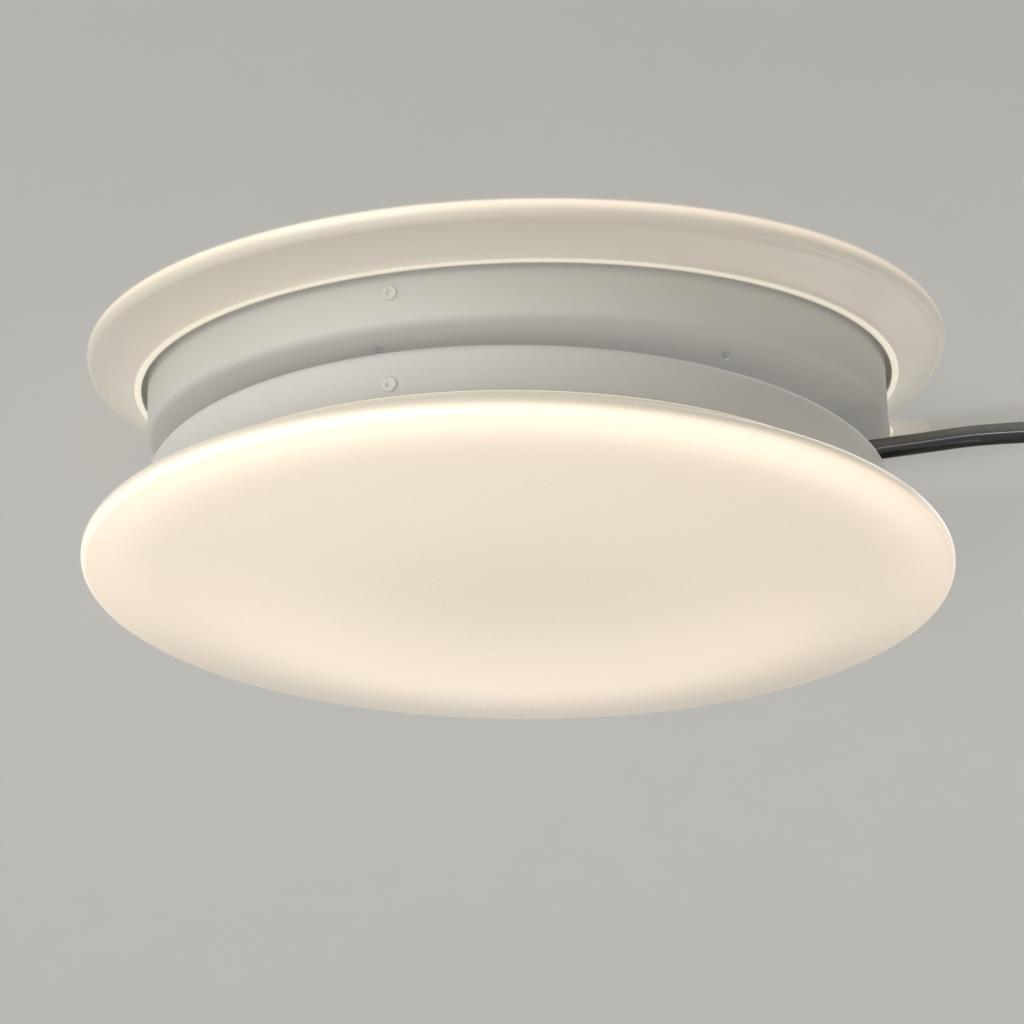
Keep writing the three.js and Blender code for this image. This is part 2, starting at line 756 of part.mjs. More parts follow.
// A core from the end of the sheath into the block, opening out to its way
function makeCore(way) {
  const from = sheathEndX - touchGap;
  const mouth = blockRight + wireEntry;
  const turn = THREE.MathUtils.degToRad(coreTurns[way]);
  const y0 = grommetY + coreSpread * Math.cos(turn);
  const z0 = boreZ + coreSpread * Math.sin(turn);
  const y1 = blockWayPlaces[way];
  return wire([
    v3(from, y0, z0),
    v3(from - wireRadius, y0, z0),
    v3((from + mouth) / 2, (y0 + y1) / 2, (z0 + boreZ) / 2),
    v3(mouth, y1, boreZ),
    v3(blockRight - wireEntry, y1, boreZ),
  ]);
}

// A lead from the block to the circuit board in the driver
function makeInputLead(way) {
  const y1 = blockWayPlaces[way];
  const holeX = driverX - driverLength / 2 + driverWall + leadHoleInset;
  const x2 = holeX + (way === 0 ? 1 : -1) * (wireRadius + touchGap);
  const wallY = driverY + driverWidth / 2;
  const turnX = blockLeft - wireEntry * (way + 1);
  return wire([
    v3(blockLeft + wireEntry, y1, boreZ),
    v3(blockLeft, y1, boreZ),
    v3(turnX, y1, boreZ),
    v3(x2, (y1 + wallY) / 2, (boreZ + driverLeadZ) / 2),
    v3(x2, wallY + wireEntry, driverLeadZ),
    v3(x2, wallY - driverWall - wireEntry, driverLeadZ),
  ]);
}

// The earth wire from the block to the tag
function makeEarthWire() {
  const y1 = blockWayPlaces[2];
  const tailX = tagX + tagTailLength;
  const tagZ = floorSeat - tagSheet - touchGap - wireRadius;
  return wire([
    v3(blockLeft + wireEntry, y1, boreZ),
    v3(blockLeft - wireEntry, y1, boreZ),
    v3((blockLeft + tailX) / 2, (y1 + tagY) / 2, (boreZ + tagZ) / 2),
    v3(tailX, tagY, tagZ),
    v3(tagX + smallScrewHeadRadius + wireRadius, tagY, tagZ),
  ]);
}

// A lead from the driver to the light board
function makeOutputLead(side) {
  const y0 = driverOutputY + side * (wireRadius + touchGap);
  const x0 = driverX + driverLength / 2;
  const padZ = floorSeat - boardSheet - touchGap - wireRadius;
  const lugRise = driverLugLength + wireEntry;
  const y2 = y0 + side * wireEntry / 2;
  const padX = Math.sqrt(boardInner * boardInner - y2 * y2);
  return wire([
    v3(x0 - driverWall - wireEntry, y0, driverLeadZ),
    v3(x0 + wireEntry, y0, driverLeadZ),
    v3(x0 + lugRise, (y0 + y2) / 2, (driverLeadZ + padZ) / 2),
    v3(padX, y2, padZ),
    v3(padX + wireEntry, y2, padZ),
  ]);
}

// Supply cable along the ceiling, from the grommet to the ceiling box
function makeSupplyCable() {
  const start = grommetTop + touchGap;
  const turn = THREE.MathUtils.degToRad(boxTurn);
  const reach = boxRadius + boxEntryLength + touchGap;
  const fromBox = (distance) => {
    return v3(boxX - distance * Math.cos(turn), boxY - distance * Math.sin(turn), cableRunZ);
  };
  const points = [
    throughGrommet(start),
    ...levelOut(start + cableLead, cableRunZ),
    v3(100.2, 19.7, cableRunZ),
    v3(115.5, 12.9, cableRunZ),
    v3(128.3, 2.1, cableRunZ),
    v3(141.1, -12.1, cableRunZ),
    v3(151.3, -21.1, cableRunZ),
    v3(163.5, -27.7, cableRunZ),
    v3(183, -35.5, cableRunZ),
    v3(204.7, -44, cableRunZ),
    v3(217, -46.9, cableRunZ),
    fromBox(reach + cableLead),
    fromBox(reach),
  ];
  return tube(points, cableRadius, cableSides, supplySteps);
}

// Ceiling box: a round cup with its mouth down, a cable entry and a post for the lid's screw
function makeCeilingBox() {
  const inner = boxRadius - boxWall;
  let cup = drum(boxRadius, -boxHeight, 0, boxSides);
  cup = cup.subtract(drum(inner, -boxHeight - cutOverrun, -boxWall, boxSides));
  cup = cup.add(drum(boxPostRadius, -boxHeight, -boxWall / 2));
  const half = boxEntryWidth / 2;
  const entry = block(-boxRadius - boxEntryLength, -inner, -half, half, -boxEntryHeight, 0);
  cup = cup.add(entry);
  const drilled = smallScrewGrip + cutOverrun;
  const screwHole = drum(smallScrewRadius + touchGap, -boxHeight - cutOverrun, -boxHeight + drilled);
  return cup.subtract(screwHole).rotate([0, 0, boxTurn]).translate([boxX, boxY, 0]);
}

function makeBoxLid() {
  const hole = smallScrewRadius + touchGap;
  const low = boxLidSeat - boxLidSheet;
  const lid = turned([
    v2(hole, low),
    v2(boxRadius - boxLidBevel, low),
    v2(boxRadius, low + boxLidBevel),
    v2(boxRadius, boxLidSeat),
    v2(hole, boxLidSeat),
    v2(hole, low),
  ], boxSides);
  return lid.rotate([0, 0, boxTurn]).translate([boxX, boxY, 0]);
}

// Assembly

addPiece('ceiling_bar', makeCeilingBar(), finishes.zincSteel);
addPiece('base_pan', makeBasePan(), finishes.whitePaint);
addPiece('diffuser', makeDiffuser(), finishes.opal);
addPiece('light_board', makeLightBoard(), finishes.whiteMask);

clipAngles.forEach((angle, i) => {
  const station = new THREE.Group();
  station.rotation.z = THREE.MathUtils.degToRad(angle);
  lamp.add(station);
  addPiece(`spring_clip_${i + 1}`, makeClip(), finishes.springSteel, station);
  addPiece(`clip_rivet_${i + 1}`, makeRivet(), finishes.rivetSteel, station).position.z = rivetZ;
});

[-1, 1].forEach((side, i) => {
  const length = panSheet + 2 * touchGap + barSheet + panScrewGrip;
  const solid = screw(panScrewHeadRadius, panScrewHeadHeight, panScrewRadius, length);
  addPieceAt(`pan_screw_${i + 1}`, solid, finishes.zincSteel, 0, side * panScrewY, floorSeat);
});

boardScrewPlaces.forEach(([x, y], i) => {
  const solid = smallScrew(boardSheet + 2 * touchGap + panSheet);
  addPieceAt(`board_screw_${i + 1}`, solid, finishes.zincSteel, x, y, floorSeat - boardSheet - touchGap);
});

addPiece('driver_tray', makeDriverTray(), finishes.whiteShell);
addPiece('driver_lid', makeDriverLid(), finishes.whiteShell);
addPiece('driver_board', makeDriverBoard(), finishes.circuit);
const driverParts = [
  ['driver_transformer', makeTransformer(), finishes.ferrite, transformerShift],
  ['driver_capacitor', makeCapacitor(), finishes.sleeve, driverLength / 2 - capacitorInset],
  ['driver_choke', makeChoke(), finishes.copper, chokeInset - driverLength / 2],
];
for (const [name, solid, finish, x] of driverParts) {
  addPieceAt(name, solid, finish, driverX + x, driverY, driverPartSeat);
}
driverScrewPlaces.forEach(([x, y], i) => {
  const solid = smallScrew(driverLugSheet + 2 * touchGap + panSheet);
  addPieceAt(`driver_screw_${i + 1}`, solid, finishes.zincSteel, x, y, floorSeat - driverLugSheet - touchGap);
});

addPiece('terminal_block', makeTerminalBlock(), finishes.whiteShell);
const blockScrew = smallScrew(floorSeat - blockScrewSeat + 2 * touchGap + panSheet);
const blockScrewZ = blockScrewSeat - touchGap;
addPieceAt('terminal_block_screw', blockScrew, finishes.zincSteel, blockX, blockScrewY, blockScrewZ);
let wayScrewNumber = 1;
for (const y of blockWayPlaces) {
  for (const x of wayScrewX) {
    const z = boreZ - wireRadius - touchGap;
    addPieceAt(`terminal_screw_${wayScrewNumber}`, makeWayScrew(), finishes.brass, x, y, z);
    wayScrewNumber += 1;
  }
}

addPieceAt('cable_grommet', makeGrommet(), finishes.blackRubber, grommetX, grommetY, 0);
addPiece('cord_grip_block', makeGripHalf(boreZ, floorSeat), finishes.whiteShell);
addPiece('cord_grip_bar', makeGripHalf(gripFace, boreZ - touchGap), finishes.whiteShell);
gripScrewPlaces.forEach(([x, y], i) => {
  const seat = gripFace - touchGap;
  const solid = smallScrew(floorSeat - seat + touchGap + panSheet);
  addPieceAt(`cord_grip_screw_${i + 1}`, solid, finishes.zincSteel, x, y, seat);
});
addPiece('earth_tag', makeEarthTag(), finishes.zincSteel);
const tagScrew = smallScrew(tagSheet + 2 * touchGap + panSheet);
addPieceAt('earth_screw', tagScrew, finishes.brass, tagX, tagY, floorSeat - tagSheet - touchGap);

addPiece('cable_end', makeCableEnd(), finishes.blackSheath);
addPiece('core_live', makeCore(0), finishes.brownWire);
addPiece('core_neutral', makeCore(1), finishes.blueWire);
addPiece('core_earth', makeCore(2), finishes.greenWire);
addPiece('driver_lead_live', makeInputLead(0), finishes.brownWire);
addPiece('driver_lead_neutral', makeInputLead(1), finishes.blueWire);
addPiece('earth_wire', makeEarthWire(), finishes.greenWire);
addPiece('board_lead_positive', makeOutputLead(1), finishes.redWire);
addPiece('board_lead_negative', makeOutputLead(-1), finishes.blackWire);

addPiece('supply_cable', makeSupplyCable(), finishes.blackSheath);
addPiece('ceiling_box', makeCeilingBox(), finishes.whiteShell);
addPiece('ceiling_box_lid', makeBoxLid(), finishes.whiteShell);
const boxScrewZ = boxLidSeat - boxLidSheet - touchGap;
addPieceAt('ceiling_box_screw', smallScrew(boxLidSheet), finishes.zincSteel, boxX, boxY, boxScrewZ);

export default lamp;
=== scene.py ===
import json
import math

import bmesh
import bpy
from bpy.props import FloatProperty, FloatVectorProperty, IntProperty, PointerProperty
from mathutils import Matrix, Vector


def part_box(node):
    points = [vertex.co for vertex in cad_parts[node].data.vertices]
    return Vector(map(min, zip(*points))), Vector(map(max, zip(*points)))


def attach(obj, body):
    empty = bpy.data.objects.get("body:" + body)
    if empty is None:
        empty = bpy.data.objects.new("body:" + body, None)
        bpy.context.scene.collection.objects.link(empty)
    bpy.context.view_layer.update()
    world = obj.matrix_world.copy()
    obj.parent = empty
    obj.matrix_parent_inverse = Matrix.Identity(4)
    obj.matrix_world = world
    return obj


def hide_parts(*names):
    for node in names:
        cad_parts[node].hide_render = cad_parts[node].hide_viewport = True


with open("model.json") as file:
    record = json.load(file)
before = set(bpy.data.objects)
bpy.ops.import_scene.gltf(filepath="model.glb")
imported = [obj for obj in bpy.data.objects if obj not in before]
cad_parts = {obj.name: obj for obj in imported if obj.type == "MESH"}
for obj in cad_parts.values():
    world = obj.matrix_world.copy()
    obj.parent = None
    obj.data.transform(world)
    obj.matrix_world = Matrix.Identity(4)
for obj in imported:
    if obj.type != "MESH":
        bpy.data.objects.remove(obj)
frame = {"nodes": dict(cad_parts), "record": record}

bl_info = {
    "name": "Round ceiling light",
    "version": (1, 0, 0),
    "blender": (4, 5, 0),
    "location": "View3D > Sidebar > Ceiling light",
    "description": "Builds the shells, fittings, cables and finishes of a round ceiling light",
    "category": "Add Mesh",
}

MM = 0.001
FULL_TURN = 2 * math.pi


def linear(hex_colour):
    """Turns an sRGB hex colour into linear red, green and blue."""
    shares = [int(hex_colour[i:i + 2], 16) / 255 for i in (1, 3, 5)]
    return tuple(s / 12.92 if s <= 0.04045 else ((s + 0.055) / 1.055) ** 2.4 for s in shares)


def distance(name, millimetres, description):
    """A length property whose default is given in millimetres."""
    return FloatProperty(
        name=name, description=description, default=millimetres * MM,
        min=0.0, subtype="DISTANCE", unit="LENGTH",
    )


def colour(name, hex_colour, description):
    """A colour property whose default is given as sRGB hex."""
    return FloatVectorProperty(
        name=name, description=description, default=linear(hex_colour),
        min=0.0, max=1.0, size=3, subtype="COLOR",
    )


def power(name, watts, description):
    """The power of a lamp, in watts."""
    return FloatProperty(name=name, description=description, default=watts, min=0.0, unit="POWER")


def box_radius(node):
    """Half the width of a node, in millimetres."""
    low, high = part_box(node)
    return (high.x - low.x) / 2 / MM


class LampSizes(bpy.types.PropertyGroup):
    """Sizes of the shells and fittings"""

    lamp_radius: distance("Lamp radius", box_radius("diffuser"), "Radius of the diffuser at its rim")
    base_radius: distance("Pan radius", box_radius("base_pan"), "Outer radius of the steel pan")
    pan_sheet: distance("Pan sheet", 0.8, "Thickness of the pan's steel sheet")
    pan_bend: distance("Pan bend", 4, "Outer radius of the pressed corner")
    acrylic: distance("Acrylic wall", 2, "Wall thickness of the diffuser")
    lip_gap: distance("Lip gap", 3, "Gap between the pan's wall and the diffuser's lip")
    lip_width: distance("Lip width", 3.4, "Width of the diffuser's lip")
    dome_depth: distance("Dome depth", 15, "How far the middle of the diffuser hangs below its rim")
    rim_round: distance("Rim round", 3, "How far the rim bulges outwards")
    rim_half: distance("Half rim", 4.5, "Half the height of the rounded rim")
    round_steps: IntProperty(
        name="Round steps", description="Steps round the pan and the diffuser",
        default=240, min=24, max=720,
    )


class LampColours(bpy.types.PropertyGroup):
    """Colours of the visible finishes"""

    acrylic: colour("Acrylic", "#CBC3B4", "Opal acrylic by reflected light")
    glow: colour("Glow", "#9A9286", "Light that leaves the middle of the diffuser")
    rim_glow: colour("Rim glow", "#C6B3A4", "Light that leaves the rim of the diffuser")
    flange_glow: colour("Flange glow", "#635D50", "Light that leaves the back of the diffuser")
    lip_glow: colour("Lip glow", "#D2C7B4", "Light that leaves the lip of the diffuser")
    powder_coat: colour("Powder coat", "#C6C3BD", "Paint of the pan")
    sheath: colour("Cable sheath", "#0C0C0C", "Vinyl of the supply cable")
    ceiling: colour("Ceiling", "#D8D6D1", "Glossy ceiling behind the lamp")


class StageSettings(bpy.types.PropertyGroup):
    """Camera, light and ceiling of the stage"""

    lens: FloatProperty(
        name="Lens", description="Focal length on a 36 mm wide sensor", default=127.04, unit="CAMERA",
    )
    ambient: FloatProperty(
        name="Ambient", description="Strength of the light from all round", default=0.8,
    )
    backdrop: FloatProperty(name="Backdrop", description="Brightness of the backdrop", default=0.86)
    key_power: power("Key power", 34, "Power of the large soft light")
    fill_power: power("Fill power", 18, "Power of the light above")
    room_height: distance("Room height", 2400, "Height of the ceiling above the floor")


# Nodes and finishes

def add_node(tree, kind, settings=None, inputs=None):
    """Adds a node, sets its properties, and fills or links its inputs."""
    node = tree.nodes.new(kind)
    for name, value in (settings or {}).items():
        setattr(node, name, value)
    for key, value in (inputs or {}).items():
        if isinstance(value, bpy.types.NodeSocket):
            tree.links.new(value, node.inputs[key])
        else:
            node.inputs[key].default_value = value
    return node


def start_finish(name, **shader_values):
    """A material with a shader and Object coordinates, all ready for a pattern."""
    material = bpy.data.materials.new(name)
    material.use_nodes = True
    tree = material.node_tree
    tree.nodes.clear()
    inputs = {key.replace("_", " ").title(): value for key, value in shader_values.items()}
    if "Ior" in inputs:
        inputs["IOR"] = inputs.pop("Ior")
    shader = add_node(tree, "ShaderNodeBsdfPrincipled", inputs=inputs)
    add_node(tree, "ShaderNodeOutputMaterial", inputs={"Surface": shader.outputs[0]})
    place = add_node(tree, "ShaderNodeTexCoord").outputs["Object"]
    return material, tree, shader, place


def grain(tree, place, millimetres, stretch=(1, 1, 1), detail=2.0):
    """Noise whose grains are so many millimetres wide, stretched along an axis by a share below one."""
    mapped = add_node(tree, "ShaderNodeMapping", inputs={"Vector": place, "Scale": stretch}).outputs[0]
    noise = add_node(tree, "ShaderNodeTexNoise", inputs={
        "Vector": mapped, "Scale": 1 / (millimetres * MM), "Detail": detail,
    })
    return noise.outputs[0]


def between(tree, factor, first, second):
    """Mixes two colours by a factor."""
    four = [c if isinstance(c, bpy.types.NodeSocket) else (*c[:3], 1.0) for c in (first, second)]
    mix = add_node(tree, "ShaderNodeMix", {"data_type": "RGBA"}, {0: factor, 6: four[0], 7: four[1]})
    return mix.outputs[2]


def ranged(tree, value, low, high, to_low, to_high):
    """Maps a value from one range to another, with its ends held."""
    inputs = {"Value": value, "From Min": low, "From Max": high, "To Min": to_low, "To Max": to_high}
    return add_node(tree, "ShaderNodeMapRange", {"interpolation_type": "SMOOTHSTEP"}, inputs).outputs[0]


def total(tree, first, second):
    """The sum of two values."""
    return add_node(tree, "ShaderNodeMath", {"operation": "ADD"}, {0: first, 1: second}).outputs[0]


def product(tree, first, second):
    """The product of two values."""
    return add_node(tree, "ShaderNodeMath", {"operation": "MULTIPLY"}, {0: first, 1: second}).outputs[0]


def larger(tree, first, second):
    """The larger of two values."""
    return add_node(tree, "ShaderNodeMath", {"operation": "MAXIMUM"}, {0: first, 1: second}).outputs[0]


def mixed(tree, share, first, second):
    """A mix of two shaders by a share."""
    inputs = {0: share, 1: first.outputs[0], 2: second.outputs[0]}
    return add_node(tree, "ShaderNodeMixShader", inputs=inputs)


def bump(tree, shader, height, depth_mm):
    """Raises a surface by a height pattern, to a depth in millimetres."""
    node = add_node(tree, "ShaderNodeBump", inputs={"Height": height, "Distance": depth_mm * MM})
    tree.links.new(node.outputs[0], shader.inputs["Normal"])


def vary_roughness(tree, shader, pattern, smooth, rough):
    """Lets a noise pattern vary the roughness between two values."""
    tree.links.new(ranged(tree, pattern, 0.3, 0.7, smooth, rough), shader.inputs["Roughness"])


def shade(rgb, share):
    """A colour made darker or lighter by a share."""
    return tuple(min(1.0, c * share) for c in rgb)


def finish_opal_acrylic(colours, sizes):
    """Moulded opal acrylic, lit from inside: milky, satin, dim on its back, brightest at the near rim by
    a painted highlight.
    """
    material, tree, shader, place = start_finish("opal acrylic, moulded", roughness=0.3, ior=1.49)
    split = add_node(tree, "ShaderNodeSeparateXYZ", inputs={0: place}).outputs
    flat = add_node(tree, "ShaderNodeCombineXYZ", inputs={0: split[0], 1: split[1]}).outputs[0]
    radius = add_node(tree, "ShaderNodeVectorMath", {"operation": "LENGTH"}, {0: flat}).outputs["Value"]
    whole = sizes.lamp_radius
    rim_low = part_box("diffuser")[0].z + sizes.dome_depth

    def by_radius(low_share, high_share, to_low, to_high):
        """A value that changes between two shares of the lamp's radius."""
        return ranged(tree, radius, whole * low_share, whole * high_share, to_low, to_high)

    def by_side(near_share, far_share, to_near, to_far):
        """A value that changes across the lamp, from its near side to its far side."""
        return ranged(tree, split[1], whole * near_share, whole * far_share, to_near, to_far)

    def by_height(low, high, to_low, to_high):
        """A value that changes between two heights in millimetres above the rim's lower edge."""
        return ranged(tree, split[2], rim_low + low * MM, rim_low + high * MM, to_low, to_high)

    # Share of the rim's colour: a little over the outer half, more on the far half, most at the near rim
    outer = by_radius(0.05, 0.6, 0.0, 0.3)
    far = by_side(-0.3, 0.35, 0.0, 0.45)
    # The rim's share holds a painted highlight at the near rim and painted shade at the far rim
    rim = product(tree, by_radius(0.8, 0.97, 0.0, 1.0), by_side(-1.0, 1.0, 0.75, -0.3))
    share = total(tree, total(tree, outer, far), rim)
    glow = between(tree, share, colours.glow, colours.rim_glow)
    # Painted highlight makes the near edge stronger still, and painted shade makes the far edge weaker
    near_painted_highlight = product(tree, by_radius(0.88, 0.97, 0.0, 1.0), by_side(-0.8, 0.0, 0.3, 0.0))
    far_painted_shade = product(tree, by_radius(0.6, 0.95, 0.0, 1.0), by_side(-0.2, 0.8, 0.0, -0.6))
    gain = total(tree, total(tree, near_painted_highlight, far_painted_shade), 1.0)
    scaled = add_node(tree, "ShaderNodeVectorMath", {"operation": "SCALE"}, {0: glow, "Scale": gain})
    # Mottling of the moulding, 90 mm wide, faintly warmer and cooler
    mottle = grain(tree, place, 90, detail=1.0)
    warm = between(tree, mottle, (1.0, 0.96, 0.9), (0.96, 1.0, 1.0))
    tinted = add_node(tree, "ShaderNodeMix", {"data_type": "RGBA", "blend_type": "MULTIPLY"}, {
        0: 1.0, 6: scaled.outputs[0], 7: warm,
    })
    # Upwards round the rim the light fades to the dim back, which is bright again at the lip's edge
    back = by_height(1.5, 6.8, 0.0, 1.0)
    climb = by_height(8.5, 17.5, 0.0, 0.08)
    lip = by_height(19.1, 19.8, 0.0, 0.92)
    dim = between(tree, total(tree, climb, lip), colours.flange_glow, colours.lip_glow)
    glow = between(tree, back, tinted.outputs[2], dim)
    # The bowl's inner face glows less, and the inner side of the rim is in the shade of the pan
    bowl = by_radius(0.8, 0.86, 0.6, 0.0)
    lit = add_node(tree, "ShaderNodeAttribute", {"attribute_name": "lit"}).outputs["Fac"]
    emission = between(tree, larger(tree, lit, bowl), (0, 0, 0), glow)
    tree.links.new(emission, shader.inputs["Emission Color"])
    shader.inputs["Emission Strength"].default_value = 1.0
    tint = between(tree, mottle, colours.acrylic, shade(colours.acrylic, 0.97))
    tree.links.new(tint, shader.inputs["Base Color"])
    # Fine satin of the mould, 0.8 mm wide
    satin = grain(tree, place, 0.8)
    vary_roughness(tree, shader, satin, 0.27, 0.34)
    bump(tree, shader, satin, 0.004)
    return material


def finish_powder_coat(colours):
    """Powder coat on pressed steel: satin, with orange peel about 1.6 mm wide."""
    material, tree, shader, place = start_finish("powder coated steel", ior=1.5)
    peel = grain(tree, place, 1.6)
    dust = grain(tree, place, 45, detail=3.0)
    tint = between(tree, dust, colours.powder_coat, shade(colours.powder_coat, 0.95))
    tree.links.new(tint, shader.inputs["Base Color"])
    vary_roughness(tree, shader, peel, 0.5, 0.6)
    bump(tree, shader, peel, 0.03)
    return material


def finish_metal(name, light, dark, roughness, grain_mm, stretch=(1, 1, 1)):
    """Bare or plated metal whose grain varies its colour and gloss."""
    material, tree, shader, place = start_finish(name, metallic=1.0)
    pattern = grain(tree, place, grain_mm, stretch, detail=3.0)
    tree.links.new(between(tree, pattern, linear(light), linear(dark)), shader.inputs["Base Color"])
    vary_roughness(tree, shader, pattern, *roughness)
    bump(tree, shader, pattern, 0.01)
    return material


def finish_plastic(name, light, dark, roughness, grain_mm, depth_mm, ior=1.5):
    """Moulded or extruded plastic, rubber or lacquer with a fine texture."""
    material, tree, shader, place = start_finish(name, ior=ior)
    pattern = grain(tree, place, grain_mm)
    cloud = grain(tree, place, grain_mm * 20, detail=3.0)
    tree.links.new(between(tree, cloud, linear(light), linear(dark)), shader.inputs["Base Color"])
    vary_roughness(tree, shader, pattern, *roughness)
    bump(tree, shader, pattern, depth_mm)
    return material


def finish_sheath(colours):
    """Extruded black vinyl: glossy, with faint lengthwise drag lines from the die."""
    material, tree, shader, place = start_finish("extruded vinyl sheath", ior=1.53)
    drag = grain(tree, place, 1.2, (0.12, 1, 1), detail=2.0)
    wipe = grain(tree, place, 18, detail=2.0)
    tint = between(tree, wipe, colours.sheath, shade(colours.sheath, 1.9))
    tree.links.new(tint, shader.inputs["Base Color"])
    vary_roughness(tree, shader, wipe, 0.2, 0.32)
    bump(tree, shader, drag, 0.02)
    return material


def finish_earth_wire():
    """Green vinyl with the yellow stripes of an earth wire, 5 mm apart."""
    material, tree, shader, place = start_finish("earth wire vinyl", roughness=0.35, ior=1.53)
    # The diagonal wave turns by ten radians over each unit of length
    spacing, turn_rate = 5 * MM, 10
    wave = add_node(tree, "ShaderNodeTexWave", {"bands_direction": "DIAGONAL"}, {
        "Vector": place, "Scale": FULL_TURN / turn_rate / spacing,
    }).outputs[0]
    stripe = ranged(tree, wave, 0.45, 0.55, 0.0, 1.0)
    tint = between(tree, stripe, linear("#3E8A2A"), linear("#D9C21E"))
    tree.links.new(tint, shader.inputs["Base Color"])
    bump(tree, shader, grain(tree, place, 0.6), 0.01)
    return material


def finish_light_board():
    """White solder mask on aluminium, with yellow phosphor on the tops of the diodes."""
    material, tree, shader, place = start_finish("solder mask and phosphor", roughness=0.45)
    height = add_node(tree, "ShaderNodeSeparateXYZ", inputs={0: place}).outputs[2]
    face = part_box("light_board")[0].z
    diode = ranged(tree, height, face + 0.1 * MM, face + 0.25 * MM, 1.0, 0.0)
    cloud = grain(tree, place, 12, detail=3.0)
    mask = between(tree, cloud, linear("#EDECE4"), linear("#DFDDD3"))
    tree.links.new(between(tree, diode, mask, linear("#E3C95A")), shader.inputs["Base Color"])
    tree.links.new(between(tree, diode, (0, 0, 0), linear("#F2D98A")), shader.inputs["Emission Color"])
    shader.inputs["Emission Strength"].default_value = 1.0
    bump(tree, shader, grain(tree, place, 0.5), 0.01)
    return material


def finish_circuit():
    """Green lacquered glass laminate with paler tracks about 1.3 mm wide, round cells of 6 mm."""
    material, tree, shader, place = start_finish("lacquered circuit laminate", roughness=0.35)
    cells = add_node(tree, "ShaderNodeTexVoronoi", {"feature": "DISTANCE_TO_EDGE"}, {
        "Vector": place, "Scale": 1 / (6 * MM),
    }).outputs[0]
    track = ranged(tree, cells, 0.08, 0.14, 1.0, 0.0)
    tint = between(tree, track, linear("#1F5A33"), linear("#3F8A55"))
    tree.links.new(tint, shader.inputs["Base Color"])
    bump(tree, shader, track, 0.035)
    return material


WIRE_COLOURS = {
    "brown_wire": ("#5B3420", "#4A2917"),
    "blue_wire": ("#2A62B8", "#2456A3"),
    "red_wire": ("#B3261C", "#9E2118"),
    "black_wire": ("#1A1A1A", "#121212"),
}


def make_finishes(scene):
    """One material for each finish, by the record's slot."""
    colours, sizes = scene.lamp_colours, scene.lamp_sizes
    finishes = {
        "opal_acrylic": finish_opal_acrylic(colours, sizes),
        "white_paint": finish_powder_coat(colours),
        "black_sheath": finish_sheath(colours),
        "green_wire": finish_earth_wire(),
        "white_mask": finish_light_board(),
        "circuit_laminate": finish_circuit(),
        # Bluish grey plating with a soft spangle
        "zinc_steel": finish_metal(
            "zinc plated steel", "#B4B8BB", "#9BA0A4", roughness=(0.32, 0.46), grain_mm=2.5,
        ),
        # Darker and glossier, with fine lines along the leaf
        "spring_steel": finish_metal(
            "tempered spring steel", "#8E949A", "#757B82", roughness=(0.24, 0.36), grain_mm=0.9,
            stretch=(1, 1, 0.15),
        ),
        # Warm yellow with a fine grain from turning
        "brass": finish_metal(
            "turned brass", "#C9A85F", "#B3924C", roughness=(0.28, 0.4), grain_mm=0.7,
        ),
        # Glossy reddish brown, with lines from the winding
        "copper_winding": finish_metal(
            "enamelled copper wire", "#B8683A", "#9C5029", roughness=(0.28, 0.4), grain_mm=0.8,
            stretch=(1, 1, 0.2),
        ),
        # Off-white paint, smoother than the powder coat round it
        "rivet_steel": finish_plastic(
            "painted rivet steel", "#D6D3CC", "#C6C3BC", roughness=(0.3, 0.42), grain_mm=0.8,
            depth_mm=0.01,
        ),
        # Dull black with the mould's fine texture
        "black_rubber": finish_plastic(
            "moulded rubber", "#1A1A1A", "#111111", roughness=(0.62, 0.78), grain_mm=0.7, depth_mm=0.02,
            ior=1.52,
        ),
        # Off-white and satin, with a very fine texture
        "white_shell": finish_plastic(
            "moulded polycarbonate", "#E6E5E0", "#DCDAD3", roughness=(0.42, 0.55), grain_mm=0.5,
            depth_mm=0.02, ior=1.58,
        ),
        # Dark grey and matt, like pressed powder
        "ferrite": finish_plastic(
            "ferrite and tape", "#37373C", "#26262A", roughness=(0.55, 0.7), grain_mm=0.6, depth_mm=0.03,
        ),
        # Dark blue and glossy, drawn tight by heat
        "capacitor_sleeve": finish_plastic(
            "shrunk sleeve", "#1F2233", "#171A28", roughness=(0.3, 0.4), grain_mm=1.2, depth_mm=0.01,
        ),
    }
    # Glossy vinyl in the colours of the wires
    for slot, (light, dark) in WIRE_COLOURS.items():
        name = slot.replace("_wire", " wire vinyl")
        finishes[slot] = finish_plastic(
            name, light, dark, roughness=(0.3, 0.42), grain_mm=0.6, depth_mm=0.01, ior=1.53,
        )
    return finishes


FINISHES = {}


def finish_for(slot):
    """The material of a slot, made with all the others on first use."""
    if not FINISHES:
        FINISHES.update(make_finishes(bpy.context.scene))
    return FINISHES[slot]


# Shapes

def joined_profile(points, closed=False):
    """A line of edges through points of radius and height, standing in the XZ plane."""
    bm = bmesh.new()
    verts = [bm.verts.new((x, 0.0, z)) for x, z in points]
    pairs = list(zip(verts, verts[1:]))
    if closed:
        pairs.append((verts[-1], verts[0]))
    for pair in pairs:
        bm.edges.new(pair)
    return bm


def spun(points, steps, closed=False):
    """Turns points of radius and height round the Z axis."""
    bm = joined_profile(points, closed)
    bmesh.ops.spin(
        bm, geom=bm.verts[:] + bm.edges[:], cent=(0, 0, 0), axis=(0, 0, 1),
        angle=FULL_TURN, steps=steps, use_merge=True,
    )
    bmesh.ops.remove_doubles(bm, verts=bm.verts, dist=0.001 * MM)
    bmesh.ops.recalc_face_normals(bm, faces=bm.faces)
    return bm


def cuboid(low, high):
    """A box between two corners."""
    bm = bmesh.new()
    low, high = Vector(low), Vector(high)
    bmesh.ops.create_cube(bm, size=1.0)
    bmesh.ops.scale(bm, vec=high - low, verts=bm.verts)
    bmesh.ops.translate(bm, vec=(low + high) / 2, verts=bm.verts)
    return bm


